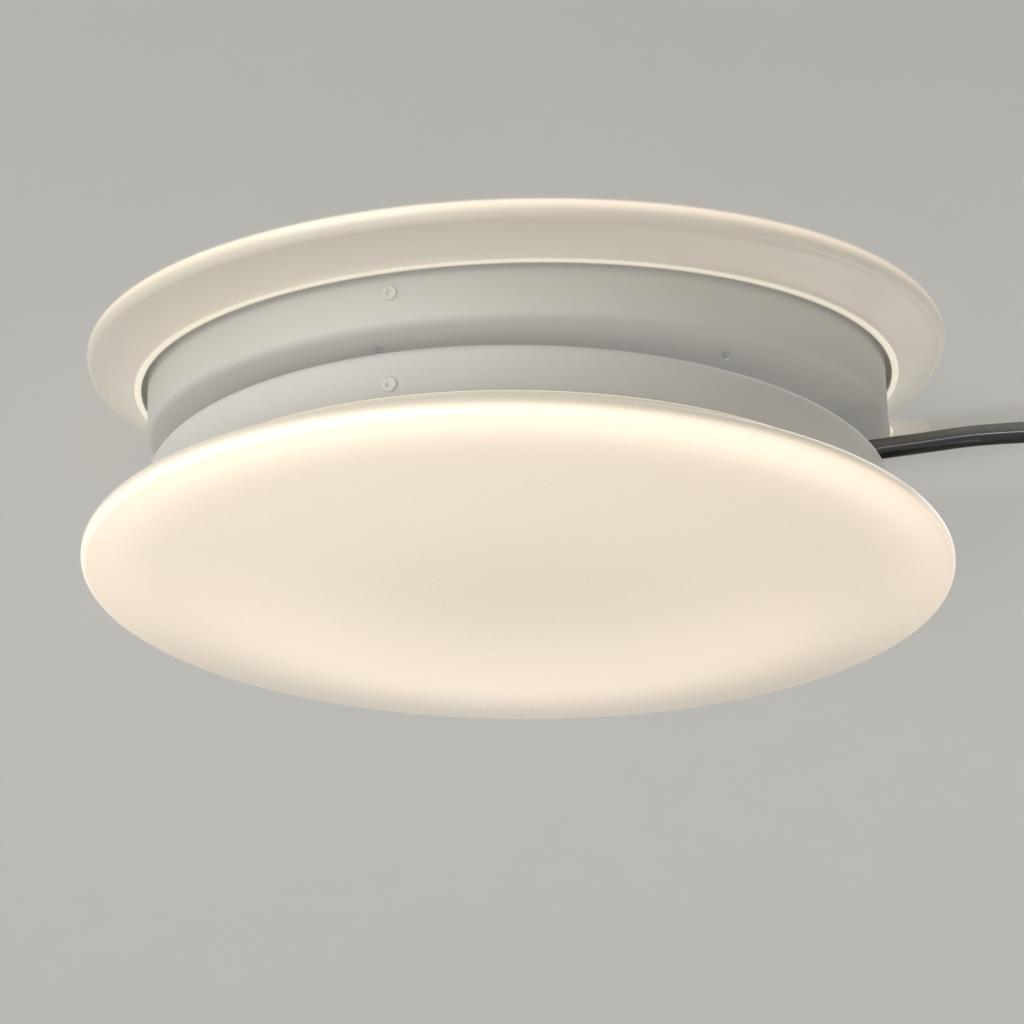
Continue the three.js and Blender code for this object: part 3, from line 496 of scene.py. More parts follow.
def rod(radius, start, end, segments=32):
    """A round rod from one point to another."""
    bm = bmesh.new()
    start, end = Vector(start), Vector(end)
    along = end - start
    turn = along.to_track_quat("Z", "Y").to_matrix().to_4x4()
    bmesh.ops.create_cone(
        bm, cap_ends=True, segments=segments, radius1=radius, radius2=radius, depth=along.length,
        matrix=Matrix.Translation((start + end) / 2) @ turn,
    )
    return bm


def quarter_turns(steps, from_zero=False):
    """Angles that divide a quarter of a turn, with or without the first."""
    return [math.pi / 2 * i / steps for i in range(0 if from_zero else 1, steps + 1)]


def in_metres(points):
    """The points of an outline in metres, from millimetres."""
    return [(x * MM, z * MM) for x, z in points]


def put(bm, matrix):
    """Moves a whole shape by a matrix."""
    bmesh.ops.transform(bm, matrix=matrix, verts=bm.verts)
    return bm


def merged(shapes):
    """Several separate shapes as one."""
    whole = bmesh.new()
    for bm in shapes:
        mesh = bpy.data.meshes.new("part")
        bm.to_mesh(mesh)
        bm.free()
        whole.from_mesh(mesh)
        bpy.data.meshes.remove(mesh)
    return whole


def bevelled(bm, edges, width, segments):
    """Rounds the given edges."""
    bmesh.ops.bevel(
        bm, geom=edges, offset=width, offset_type="OFFSET", segments=segments,
        profile=0.5, affect="EDGES", clamp_overlap=True, material=-1,
    )
    return bm


def soften(bm, width, segments=3, limit=35):
    """Rounds every edge that is sharper than a limit in degrees."""
    sharp = [e for e in bm.edges if len(e.link_faces) == 2 and e.calc_face_angle(0) > math.radians(limit)]
    return bevelled(bm, sharp, width, segments)


def round_corners(bm, axis, width, segments):
    """Rounds the edges of a box that run along one axis, 0 to 2 for x to z."""
    along = [e for e in bm.edges if abs((e.verts[0].co - e.verts[1].co)[axis]) > MM]
    return bevelled(bm, along, width, segments)


def rough_object(bm):
    """A throwaway object for a modifier to work on."""
    mesh = bpy.data.meshes.new("rough")
    bm.to_mesh(mesh)
    bm.free()
    rough = bpy.data.objects.new("rough", mesh)
    bpy.context.scene.collection.objects.link(rough)
    return rough


def with_modifier(bm, kind, tool=None, **settings):
    """A shape after one modifier, which may use another shape as its tool."""
    body = rough_object(bm)
    helper = rough_object(tool) if tool else None
    modifier = body.modifiers.new(kind, kind)
    for name, value in settings.items():
        setattr(modifier, name, value)
    if helper:
        modifier.object = helper
    evaluated = body.evaluated_get(bpy.context.evaluated_depsgraph_get())
    result = bmesh.new()
    result.from_mesh(evaluated.to_mesh())
    evaluated.to_mesh_clear()
    for rough in filter(None, (body, helper)):
        mesh = rough.data
        bpy.data.objects.remove(rough)
        bpy.data.meshes.remove(mesh)
    return result


def carved(bm, tool):
    """A shape with another cut out of it."""
    return with_modifier(bm, "BOOLEAN", tool, operation="DIFFERENCE", solver="EXACT")


def fused(bm, tool):
    """Two shapes as one solid."""
    return with_modifier(bm, "BOOLEAN", tool, operation="UNION", solver="EXACT")


def walled(bm, thickness):
    """A skin given a wall behind its face."""
    return with_modifier(
        bm, "SOLIDIFY", thickness=thickness, offset=-1.0, use_even_offset=True, use_quality_normals=True
    )


def bent_strip(path, half_width, thickness, bend, flip=False):
    """A strip of sheet that follows a path of x and z, with rounded bends and its width along y."""
    bm = joined_profile(path)
    for vert in bm.verts:
        vert.co.y = -half_width
    made = bmesh.ops.extrude_edge_only(bm, edges=bm.edges[:])
    moved = [g for g in made["geom"] if isinstance(g, bmesh.types.BMVert)]
    bmesh.ops.translate(bm, vec=(0, 2 * half_width, 0), verts=moved)
    bevelled(bm, [e for e in bm.edges if len(e.link_faces) == 2], bend, 5)
    if flip:
        bmesh.ops.reverse_faces(bm, faces=bm.faces)
    return walled(bm, thickness)


def add_piece(name, bm, slot, body, *nodes, sharp=40):
    """Makes a finished shape a piece that rides on a body and stands for its nodes."""
    mesh = bpy.data.meshes.new(name)
    bm.to_mesh(mesh)
    bm.free()
    mesh.shade_smooth()
    mesh.set_sharp_from_angle(angle=math.radians(sharp))
    mesh.materials.append(finish_for(slot))
    piece = bpy.data.objects.new(name, mesh)
    bpy.context.scene.collection.objects.link(piece)
    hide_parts(*nodes)
    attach(piece, body)
    return piece


def middle_of(node):
    """The middle of a node's box."""
    low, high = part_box(node)
    return (low + high) / 2


# Places that the fittings share, in millimetres as in the part's source

CLIP_ANGLES = (-108, 12, 132)
RIVET_Z = -29
RIVET_HOLE = 1.9
WINDOW_TOP = -39.1
WINDOW_BOTTOM = -46.6
PAN_SCREW_HOLE = 2.3
SMALL_SCREW_HOLE = 1.8
GROMMET_HOLE = 5.9
PAN_BACK = -12.6
PAN_MIDDLE = PAN_BACK - 0.4
FLOOR_SEAT = PAN_BACK - 1.1
GROMMET = (64, 22)
GROMMET_TOP = PAN_BACK + 1.9
GROMMET_FOOT = PAN_BACK - 2.4
CABLE_RADIUS = 2.7
WIRE_RADIUS = 0.9
CABLE_SLOPE = math.radians(44)
CABLE_LEAD = 1
CEILING_RUN = -3
BORE_Z = FLOOR_SEAT - 9
BOX_RADIUS = 30
BOX_PLACE = Matrix.Translation(Vector((274, -56, 0)) * MM) @ Matrix.Rotation(math.radians(-9), 4, "Z")

# The small screws that stand in the pan's floor
FLOOR_SCREWS = (
    [f"board_screw_{i}" for i in range(1, 7)]
    + [f"driver_screw_{i}" for i in (1, 2)]
    + [f"cord_grip_screw_{i}" for i in (1, 2)]
    + ["terminal_block_screw", "earth_screw"]
)


# Cable routes

def blended(first, second, start, end, t):
    """A point on the way from one point to another, as the time passes from start to end."""
    return (first * (end - t) + second * (t - start)) / (end - start)


def smooth_route(points, count):
    """So many points on a centripetal curve through the given points, in metres."""
    points = [Vector(p) * MM for p in points]
    ends = [2 * points[0] - points[1], *points, 2 * points[-1] - points[-2]]
    route = []
    spans = len(points) - 1
    for i in range(count):
        at = i * spans / (count - 1)
        span = min(int(at), spans - 1)
        row = ends[span:span + 4]
        knots = [0.0]
        for a, b in zip(row, row[1:]):
            knots.append(knots[-1] + math.sqrt((b - a).length))
        t = knots[1] + (at - span) * (knots[2] - knots[1])
        for step in (1, 2):
            row = [blended(row[j], row[j + 1], knots[j], knots[j + step], t) for j in range(4 - step)]
        route.append(blended(*row, knots[1], knots[2], t))
    return route


def through_grommet(z):
    """A point on the cable's axis where it slants through the grommet."""
    return (GROMMET[0] + (z - PAN_MIDDLE) / math.tan(CABLE_SLOPE), GROMMET[1], z)


def level_out(low, high):
    """Points round the bend from the slant at one height to level at another."""
    start = through_grommet(low)[0]
    radius = (high - low) / (1 - math.cos(CABLE_SLOPE))
    points, steps = [], 4
    for i in range(steps + 1):
        turn = CABLE_SLOPE * (1 - i / steps)
        x = start + radius * (math.sin(CABLE_SLOPE) - math.sin(turn))
        points.append((x, GROMMET[1], low + radius * (math.cos(turn) - math.cos(CABLE_SLOPE))))
    return points


def add_cable(name, route, radius, slot, body, *nodes):
    """A round cable on one smooth curve."""
    curve = bpy.data.curves.new(name, "CURVE")
    curve.dimensions = "3D"
    curve.bevel_depth = radius
    curve.bevel_resolution = 6
    curve.resolution_u = 6
    curve.use_fill_caps = True
    spline = curve.splines.new("BEZIER")
    spline.bezier_points.add(len(route) - 1)
    for point, place in zip(spline.bezier_points, route):
        point.co = place
        point.handle_left_type = point.handle_right_type = "AUTO"
    curve.materials.append(finish_for(slot))
    piece = bpy.data.objects.new(name, curve)
    bpy.context.scene.collection.objects.link(piece)
    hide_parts(*nodes)
    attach(piece, body)
    return piece


def supply_points():
    """The supply cable's route, from the grommet along the ceiling and into the ceiling box."""
    start = GROMMET_TOP + 0.3
    # The last two points lie on the axis of the box's spout
    ends = [BOX_PLACE @ (Vector((-reach, 0, CEILING_RUN)) * MM) / MM for reach in (36.3, 35.3)]
    return [
        through_grommet(start),
        *level_out(start + CABLE_LEAD, CEILING_RUN),
        (100.2, 19.7, CEILING_RUN),
        (115.5, 12.9, CEILING_RUN),
        (128.3, 2.1, CEILING_RUN),
        (141.1, -12.1, CEILING_RUN),
        (151.3, -21.1, CEILING_RUN),
        (163.5, -27.7, CEILING_RUN),
        (183, -35.5, CEILING_RUN),
        (204.7, -44, CEILING_RUN),
        (217, -46.9, CEILING_RUN),
        *ends,
    ]


# The stage: the camera's place in millimetres and its axes

CAMERA_PLACE = (13.9, -1556.1, -636.8)
CAMERA_RIGHT = (0.9999, 0.0073, 0.0090)
CAMERA_UP = (-0.0057, -0.3678, 0.9299)
CAMERA_BACK = (0.0101, -0.9299, -0.3677)
SENSOR_WIDTH = 36

# The lights, the backdrop, and half the width of floor and ceiling, in metres
KEY_PLACE, KEY_SIZE = (-1.3, -1.5, -1.1), 1.6
FILL_PLACE, FILL_SIZE = (1.2, 1.4, 1.6), 2.0
BACKDROP_TINT = (1, 0.995, 0.985, 1)
FLOOR_HALF = 20.0
FILM_HALF = 6.0

# The ceiling's film: its grid, with a middle in millimetres, its gloss and its slopes along x and y
FILM_STEPS = 300
FILM_MIDDLE = (190, -40)
FILM_ROUGHNESS = 0.04
FILM_GLOSS_SHARE = 0.72
FILM_OPEN_SHARE = 0.3
FILM_SLOPES = (0.017, 0.0441)

# Where the film rises to clear the ceiling bar, in millimetres
BUMP_EDGE = 150
BUMP_RAMP = 95
BUMP_HEIGHT = 0.3

# Where the film comes down to lie on the cable, from a place on the cable and its slope there
SAG_PLACE = (163.5, -27.7)
SAG_SLOPE = -0.35
SAG_HEIGHT = -0.35
SAG_FLAT = 8
SAG_NEAR_REACH = 36
SAG_FAR_REACH = 90
SAG_START, SAG_START_RAMP = 120, 45
SAG_END, SAG_END_RAMP = 250, 10


def eased(share):
    """A share held between 0 and 1, with a soft start and end."""
    share = min(1.0, max(0.0, share))
    return share * share * (3 - 2 * share)


class LAMP_OT_stage(bpy.types.Operator):
    """Add the camera, lights, ceiling, floor and backdrop"""

    bl_idname = "lamp.add_stage"
    bl_label = "Stage"

    def execute(self, context):
        settings = context.scene.stage_settings
        context.scene.view_settings.view_transform = "Standard"
        self.add_camera(context, settings)
        self.add_world(context, settings)
        self.add_light(context, "key_light", KEY_PLACE, KEY_SIZE, settings.key_power)
        self.add_light(context, "fill_light", FILL_PLACE, FILL_SIZE, settings.fill_power)
        self.add_ceiling(context, context.scene.lamp_colours)
        self.add_floor(context, settings)
        return {"FINISHED"}

    def add_camera(self, context, settings):
        """Adds the camera at the photograph's viewing angle."""
        camera = bpy.data.cameras.new("camera")
        camera.lens = settings.lens
        camera.sensor_width = SENSOR_WIDTH
        holder = bpy.data.objects.new("camera", camera)
        axes = Matrix((CAMERA_RIGHT, CAMERA_UP, CAMERA_BACK)).transposed()
        turn = axes.to_quaternion().to_matrix().to_4x4()
        holder.matrix_world = Matrix.Translation(Vector(CAMERA_PLACE) * MM) @ turn
        context.scene.collection.objects.link(holder)
        context.scene.camera = holder

    def add_world(self, context, settings):
        """Adds even light from all round, with a backdrop of its own brightness where it is seen."""
        world = bpy.data.worlds.new("studio")
        context.scene.world = world
        world.use_nodes = True
        tree = world.node_tree
        tree.nodes.clear()
        rays = add_node(tree, "ShaderNodeLightPath").outputs
        seen = rays["Is Camera Ray"]
        for name in ("Is Glossy Ray", "Is Transmission Ray"):
            seen = larger(tree, seen, rays[name])
        light = add_node(tree, "ShaderNodeBackground", inputs={0: (1, 1, 1, 1), 1: settings.ambient})
        shown = add_node(tree, "ShaderNodeBackground", inputs={0: BACKDROP_TINT, 1: settings.backdrop})
        mix = mixed(tree, seen, light, shown)
        add_node(tree, "ShaderNodeOutputWorld", inputs={0: mix.outputs[0]})

    def add_light(self, context, name, place, size, watts):
        """Adds a large square light that faces the lamp."""
        light = bpy.data.lights.new(name, "AREA")
        light.size = size
        light.energy = watts
        holder = bpy.data.objects.new(name, light)
        turn = Vector(place).to_track_quat("Z", "Y").to_matrix().to_4x4()
        holder.matrix_world = Matrix.Translation(place) @ turn
        context.scene.collection.objects.link(holder)

    def add_plane(self, context, name, half, matrix, material, steps=1):
        """Adds a large flat surface that isn't part of the lamp."""
        bm = bmesh.new()
        bmesh.ops.create_grid(bm, x_segments=steps, y_segments=steps, size=half, matrix=matrix)
        mesh = bpy.data.meshes.new(name)
        bm.to_mesh(mesh)
        bm.free()
        mesh.materials.append(material)
        plane = bpy.data.objects.new(name, mesh)
        context.scene.collection.objects.link(plane)
        return plane

    def add_ceiling(self, context, colours):
        """Adds the ceiling's glossy film, which shows its underside alone and lets some light through."""
        material = bpy.data.materials.new("gloss film, stretched")
        material.use_nodes = True
        tree = material.node_tree
        tree.nodes.clear()
        matt = add_node(tree, "ShaderNodeBsdfDiffuse", inputs={0: (*colours.ceiling, 1)})
        mirror = {"Color": (1, 1, 1, 1), "Roughness": FILM_ROUGHNESS}
        gloss = add_node(tree, "ShaderNodeBsdfGlossy", inputs=mirror)
        film = mixed(tree, FILM_GLOSS_SHARE, matt, gloss)
        rays = add_node(tree, "ShaderNodeLightPath").outputs
        soft = larger(tree, rays["Is Shadow Ray"], rays["Is Diffuse Ray"])
        behind = add_node(tree, "ShaderNodeNewGeometry").outputs["Backfacing"]
        clear = larger(tree, behind, product(tree, soft, FILM_OPEN_SHARE))
        mix = mixed(tree, clear, film, add_node(tree, "ShaderNodeBsdfTransparent"))
        add_node(tree, "ShaderNodeOutputMaterial", inputs={0: mix.outputs[0]})
        ceiling = self.add_plane(context, "stage_ceiling", 1.0, Matrix(), material, FILM_STEPS)
        # The grid is finest where the film lies on the cable
        for vert in ceiling.data.vertices:
            x, y = (FILM_HALF * c ** 3 + middle * MM for c, middle in zip(vert.co.xy, FILM_MIDDLE))
            vert.co = (x, y, self.ceiling_height(x, y))
        ceiling.data.flip_normals()
        ceiling.data.shade_smooth()
        ceiling.visible_glossy = False

    def ceiling_height(self, x, y):
        """Height of the slightly sloping film, which clears the bar and lies on the cable."""
        height = FILM_SLOPES[0] * x + FILM_SLOPES[1] * y
        over_bar = eased((BUMP_EDGE * MM - math.hypot(x, y)) / (BUMP_RAMP * MM))
        height += (max(height, BUMP_HEIGHT * MM) - height) * over_bar
        off = y - SAG_PLACE[1] * MM - SAG_SLOPE * (x - SAG_PLACE[0] * MM)
        reach = (SAG_NEAR_REACH if off < 0 else SAG_FAR_REACH) * MM
        near_start = (x - SAG_START * MM) / (SAG_START_RAMP * MM)
        near_end = (SAG_END * MM - x) / (SAG_END_RAMP * MM)
        across = (reach - abs(off)) / (reach - SAG_FLAT * MM)
        on_cable = eased(min(near_start, near_end)) * eased(across)
        return height + (SAG_HEIGHT * MM - height) * on_cable

    def add_floor(self, context, settings):
        """Adds the pale floor of the room."""
        material, tree, shader, place = start_finish("matt floor paint", roughness=0.8)
        tint = between(tree, grain(tree, place, 400), linear("#D6D4CF"), linear("#D1CFCA"))
        tree.links.new(tint, shader.inputs["Base Color"])
        ground = Matrix.Translation((0, 0, -settings.room_height))
        self.add_plane(context, "stage_floor", FLOOR_HALF, ground, material)


class LAMP_OT_supply_cable(bpy.types.Operator):
    """Add the supply cable and the ceiling box that it comes from"""

    bl_idname = "lamp.add_supply_cable"
    bl_label = "Supply cable"

    def execute(self, context):
        box = add_piece("ceiling_box_cup", self.box_cup(), "white_shell", "base", "ceiling_box")
        lid = add_piece("ceiling_box_cover", self.box_lid(), "white_shell", "base", "ceiling_box_lid")
        route = smooth_route(supply_points(), count=36)
        into_box = 2 * MM
        route.append(route[-1] + (route[-1] - route[-2]).normalized() * into_box)
        cable = add_cable(
            "supply_cable_sheath", route, CABLE_RADIUS * MM, "black_sheath", "base", "supply_cable",
        )
        return {"FINISHED"}

    def box_cup(self):
        """The round box with its screw post and the spout for the cable."""
        radius, wall, depth, edge_round = BOX_RADIUS * MM, 2 * MM, 22 * MM, 0.5 * MM
        post, screw_hole, screw_depth = 3.5 * MM, 1.7 * MM, 5 * MM
        spout_half, spout_height, spout_end, overlap = 4.5 * MM, 7 * MM, -35 * MM, 1.5 * MM
        cable_hole, cable_z, overrun = 2.9 * MM, CEILING_RUN * MM, MM
        cup = spun([
            (0, 0), (radius, 0), (radius, -depth),
            (radius - wall, -depth), (radius - wall, -wall), (0, -wall),
        ], steps=120)
        cup = fused(cup, rod(post, (0, 0, -depth), (0, 0, -wall / 2)))
        spout = cuboid((spout_end, -spout_half, -spout_height), (overlap - radius, spout_half, 0))
        cup = fused(cup, spout)
        cup = carved(cup, merged([
            rod(cable_hole, (spout_end - overrun, 0, cable_z), (-radius - overrun, 0, cable_z)),
            rod(screw_hole, (0, 0, -depth - overrun), (0, 0, screw_depth - depth)),
        ]))
        return put(soften(cup, edge_round, limit=50), BOX_PLACE)

    def box_lid(self):
        """The flat round lid with its screw hole."""
        low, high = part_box("ceiling_box_lid")
        hole, edge, edge_round = SMALL_SCREW_HOLE * MM, BOX_RADIUS * MM, 0.7 * MM
        corners = [(hole, low.z), (edge, low.z), (edge, high.z), (hole, high.z)]
        lid = soften(spun(corners, steps=120, closed=True), edge_round)
        return put(lid, BOX_PLACE)


class LAMP_OT_diffuser(bpy.types.Operator):
    """Add the opal diffuser as one moulded shell"""

    bl_idname = "lamp.add_diffuser"
    bl_label = "Diffuser"

    def execute(self, context):
        sizes = context.scene.lamp_sizes
        low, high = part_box("diffuser")
        lip_in = sizes.base_radius + sizes.lip_gap
        lip_out = lip_in + sizes.lip_width
        rim_x = sizes.lamp_radius - sizes.rim_round
        rim_z = low.z + sizes.dome_depth + sizes.rim_half
        lip_round, lip_depth, bow_share = 1.4 * MM, 2.3 * MM, 0.6
        flange_steps, rim_steps, dome_steps = 18, 18, 26
        # The lip, with its outer edge rounded
        skin = [(lip_in, high.z)]
        for turn in quarter_turns(5, from_zero=True):
            x = lip_out - lip_round * (1 - math.sin(turn))
            skin.append((x, high.z - lip_round * (1 - math.cos(turn))))
        # The sloping back, one bow from the lip to the rim
        start, end = Vector((lip_out, high.z - lip_depth)), Vector((rim_x, rim_z + sizes.rim_half))
        bow = Vector((start.x + (end.x - start.x) * bow_share, end.y))
        for i in range(flange_steps + 1):
            t = i / flange_steps
            point = start * (1 - t) ** 2 + bow * 2 * t * (1 - t) + end * t ** 2
            skin.append((point.x, point.y))
        # The rounded rim, and the shallow dome below it
        for i in range(1, rim_steps + 1):
            turn = math.pi / 2 - math.pi * i / rim_steps
            bulge, rise = sizes.rim_round * math.cos(turn), sizes.rim_half * math.sin(turn)
            skin.append((rim_x + bulge, rim_z + rise))
        for i in range(1, dome_steps + 1):
            share = 1 - i / dome_steps
            skin.append((rim_x * share, rim_z - sizes.rim_half - sizes.dome_depth * (1 - share ** 2)))
        shell = spun(skin, sizes.round_steps)
        outside = len(shell.faces)
        shell = walled(shell, sizes.acrylic)
        shell.faces.ensure_lookup_table()
        # The outer faces come first, and the finish glows on them at its full strength
        lit = shell.faces.layers.float.new("lit")
        for face in shell.faces[:outside]:
            face[lit] = 1.0
        add_piece("opal_diffuser", shell, "opal_acrylic", "diffuser", "diffuser", sharp=60)
        return {"FINISHED"}


class LAMP_OT_base_pan(bpy.types.Operator):
    """Add the pressed steel pan with its holes and clip windows"""

    bl_idname = "lamp.add_base_pan"
    bl_label = "Base pan"

    def execute(self, context):
        sizes = context.scene.lamp_sizes
        low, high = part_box("base_pan")
        flat, bend, rings = sizes.base_radius - sizes.pan_bend, sizes.pan_bend, 4
        # The flat back, the pressed corner and the wall
        skin = [(flat * i / rings, high.z) for i in range(rings + 1)]
        for turn in quarter_turns(10):
            skin.append((flat + bend * math.sin(turn), high.z - bend * (1 - math.cos(turn))))
        skin.append((sizes.base_radius, low.z))
        pan = walled(spun(skin, sizes.round_steps), sizes.pan_sheet)
        tools = self.floor_tools(high.z) + self.wall_tools()
        add_piece("steel_pan", carved(pan, merged(tools)), "white_paint", "base", "base_pan", sharp=45)
        return {"FINISHED"}

    def floor_tools(self, back):
        """Rods that cut the holes of the pan's floor, under a back at the given height."""
        holes = {middle_of(f"pan_screw_{i}")[:2]: PAN_SCREW_HOLE * MM for i in (1, 2)}
        holes.update({middle_of(node)[:2]: SMALL_SCREW_HOLE * MM for node in FLOOR_SCREWS})
        holes[tuple(c * MM for c in GROMMET)] = GROMMET_HOLE * MM
        above, below = back + 2 * MM, back - 3 * MM
        return [rod(radius, (x, y, below), (x, y, above)) for (x, y), radius in holes.items()]

    def wall_tools(self):
        """Shapes that cut the clip windows and rivet holes of the pan's wall."""
        inside, outside, half_width, corner = 165 * MM, 175 * MM, 6 * MM, 1.2 * MM
        top, bottom, rivet_z = WINDOW_TOP * MM, WINDOW_BOTTOM * MM, RIVET_Z * MM
        tools = []
        for angle in CLIP_ANGLES:
            turn = Matrix.Rotation(math.radians(angle), 4, "Z")
            window = cuboid((inside, -half_width, bottom), (outside, half_width, top))
            hole = rod(RIVET_HOLE * MM, (inside, 0, rivet_z), (outside, 0, rivet_z))
            round_corners(window, axis=0, width=corner, segments=4)
            tools += [put(window, turn), put(hole, turn)]
        return tools


class LAMP_OT_ceiling_bar(bpy.types.Operator):
    """Add the ceiling bar as a bent strip with two slots"""

    bl_idname = "lamp.add_ceiling_bar"
    bl_label = "Ceiling bar"

    def execute(self, context):
        half_width, sheet, bend, edge_round = 11 * MM, 1.5 * MM, 1.6 * MM, 0.2 * MM
        flat_end, tab_start, tab_end, tab_top = 45, 51, 75, PAN_BACK + 1.8
        half_path = [(flat_end, 0), (tab_start, tab_top), (tab_end, tab_top)]
        path = [(-x, z) for x, z in reversed(half_path)] + half_path
        strip = bent_strip(in_metres(path), half_width, sheet, bend, flip=True)
        tools = [tool for side in (-1, 1) for tool in self.hole_tools(side)]
        bar = soften(carved(strip, merged(tools)), edge_round, segments=2, limit=60)
        put(bar, Matrix.Rotation(math.pi / 2, 4, "Z"))
        add_piece("ceiling_bar_strip", bar, "zinc_steel", "base", "ceiling_bar")
        return {"FINISHED"}

    def hole_tools(self, side):
        """Shapes that cut the slot and the tapped hole of one side of the bar."""
        slot_place, half_length, half_width, corner = 30, 7, 2.5, 2.45 * MM
        slot_top, slot_bottom, hole_place, hole_top, hole_bottom = 2, -4, 63, -10, -20
        middle = side * slot_place
        slot = cuboid(
            Vector((middle - half_length, -half_width, slot_bottom)) * MM,
            Vector((middle + half_length, half_width, slot_top)) * MM,
        )
        round_corners(slot, axis=2, width=corner, segments=8)
        x = side * hole_place
        hole = rod(PAN_SCREW_HOLE * MM, Vector((x, 0, hole_bottom)) * MM, Vector((x, 0, hole_top)) * MM)
        return [slot, hole]


class LAMP_OT_spring_clips(bpy.types.Operator):
    """Add the three spring clips and the rivets that hold them"""

    bl_idname = "lamp.add_spring_clips"
    bl_label = "Spring clips"

    def execute(self, context):
        half_width, sheet, bend = 5 * MM, 0.5 * MM, 0.5 * MM
        leaf, lip, leaf_top, leaf_foot = 170.74, 175, -23, -48
        hole_start, hole_end, rivet_z = 168 * MM, 173 * MM, RIVET_Z * MM
        path = in_metres([
            (leaf, leaf_top), (leaf, WINDOW_TOP), (lip, WINDOW_TOP - 0.5),
            (lip + 2.2, WINDOW_TOP - 2.3), (leaf, WINDOW_BOTTOM + 1), (leaf - 0.8, leaf_foot),
        ])
        for i, angle in enumerate(CLIP_ANGLES, 1):
            turn = Matrix.Rotation(math.radians(angle), 4, "Z")
            hole = rod(RIVET_HOLE * MM, (hole_start, 0, rivet_z), (hole_end, 0, rivet_z))
            clip = put(carved(bent_strip(path, half_width, sheet, bend), hole), turn)
            add_piece(f"spring_clip_leaf_{i}", clip, "spring_steel", "base", f"spring_clip_{i}")
            place = turn @ Matrix.Translation((0, 0, rivet_z)) @ Matrix.Rotation(math.pi / 2, 4, "Y")
            rivet = put(self.rivet(leaf), place)
            add_piece(f"clip_rivet_head_{i}", rivet, "rivet_steel", "base", f"clip_rivet_{i}")
        return {"FINISHED"}

    def rivet(self, leaf):
        """A hollow rivet on its own axis, with a domed ring for its outer head."""
        inner, outer, shaft, flare, head = leaf - 0.8, 172, 1.6, 2.6, 3.4
        tail = [(0, inner - 0.8), (flare - 0.4, inner - 0.8), (flare, inner - 0.5), (flare, inner)]
        ring = [
            (head, 0), (head, 0.25), (head - 0.2, 0.65), (head - 0.6, 0.95), (head - 1.1, 1.1),
            (shaft + 0.2, 1.05), (shaft - 0.2, 0.8), (shaft - 0.45, 0.35), (shaft - 0.75, 0.15), (0, 0.1),
        ]
        ring = [(radius, outer + rise) for radius, rise in ring]
        return spun(in_metres(tail + [(shaft, inner), (shaft, outer)] + ring), steps=40)


class LAMP_OT_screws(bpy.types.Operator):
    """Add the screws with slotted heads and cut threads"""

    bl_idname = "lamp.add_screws"
    bl_label = "Screws"

    def execute(self, context):
        for node in (*FLOOR_SCREWS, "ceiling_box_screw"):
            self.add_screw(node, head_height=1.9 * MM, shank=1.5 * MM)
        for node in ("pan_screw_1", "pan_screw_2"):
            self.add_screw(node, head_height=2.6 * MM, shank=2 * MM)
        for i in range(1, 7):
            self.add_grub_screw(f"terminal_screw_{i}")
        return {"FINISHED"}

    def add_grub_screw(self, node):
        """Adds a headless brass screw in the place of a node."""
        low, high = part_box(node)
        radius, edge_round = (high.x - low.x) / 2, 0.2 * MM
        grub = spun([(0, low.z), (radius, low.z), (radius, high.z), (0, high.z)], steps=32)
        soften(grub, edge_round, segments=2)
        self.finish_screw(node, grub, low.z, radius, "brass")

    def add_screw(self, node, head_height, shank):
        """Adds a pan-head screw in the place of a node."""
        low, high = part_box(node)
        head, crown, crown_height = (high.x - low.x) / 2, 0.62, 0.6 * head_height
        pitch, depth, tip = 0.6 * MM, 0.2 * MM, 0.5 * shank
        seat = low.z + head_height
        profile = [(0, low.z)]
        for turn in quarter_turns(7, from_zero=True):
            share = crown + (1 - crown) * math.sin(turn)
            profile.append((head * share, low.z + crown_height * (1 - math.cos(turn))))
        profile += [(head, seat), (shank, seat)]
        threads = int((high.z - seat - tip) / pitch)
        for i in range(1, threads):
            profile += [(shank, seat + pitch * i), (shank - depth, seat + pitch * (i + 0.5))]
        profile += [(shank, high.z - tip), (tip, high.z), (0, high.z)]
        slot = "brass" if node == "earth_screw" else "zinc_steel"
        self.finish_screw(node, spun(profile, steps=32), low.z, head, slot)

    def finish_screw(self, node, shape, face, head, slot):
        """Cuts the driver's slot across a screw and puts the screw in its place, turned its own way."""
        half_width, depth, overrun = 0.4 * MM, 0.9 * MM, MM
        reach = head + overrun
        groove = cuboid((-reach, -half_width, face - overrun), (reach, half_width, face + depth))
        x, y, _ = middle_of(node)
        turn = Matrix.Rotation(x * 97 + y * 53, 4, "Z")
        shape = put(carved(shape, groove), Matrix.Translation((x, y, 0)) @ turn)
        add_piece(f"{node}_turned", shape, slot, "base", node, sharp=35)


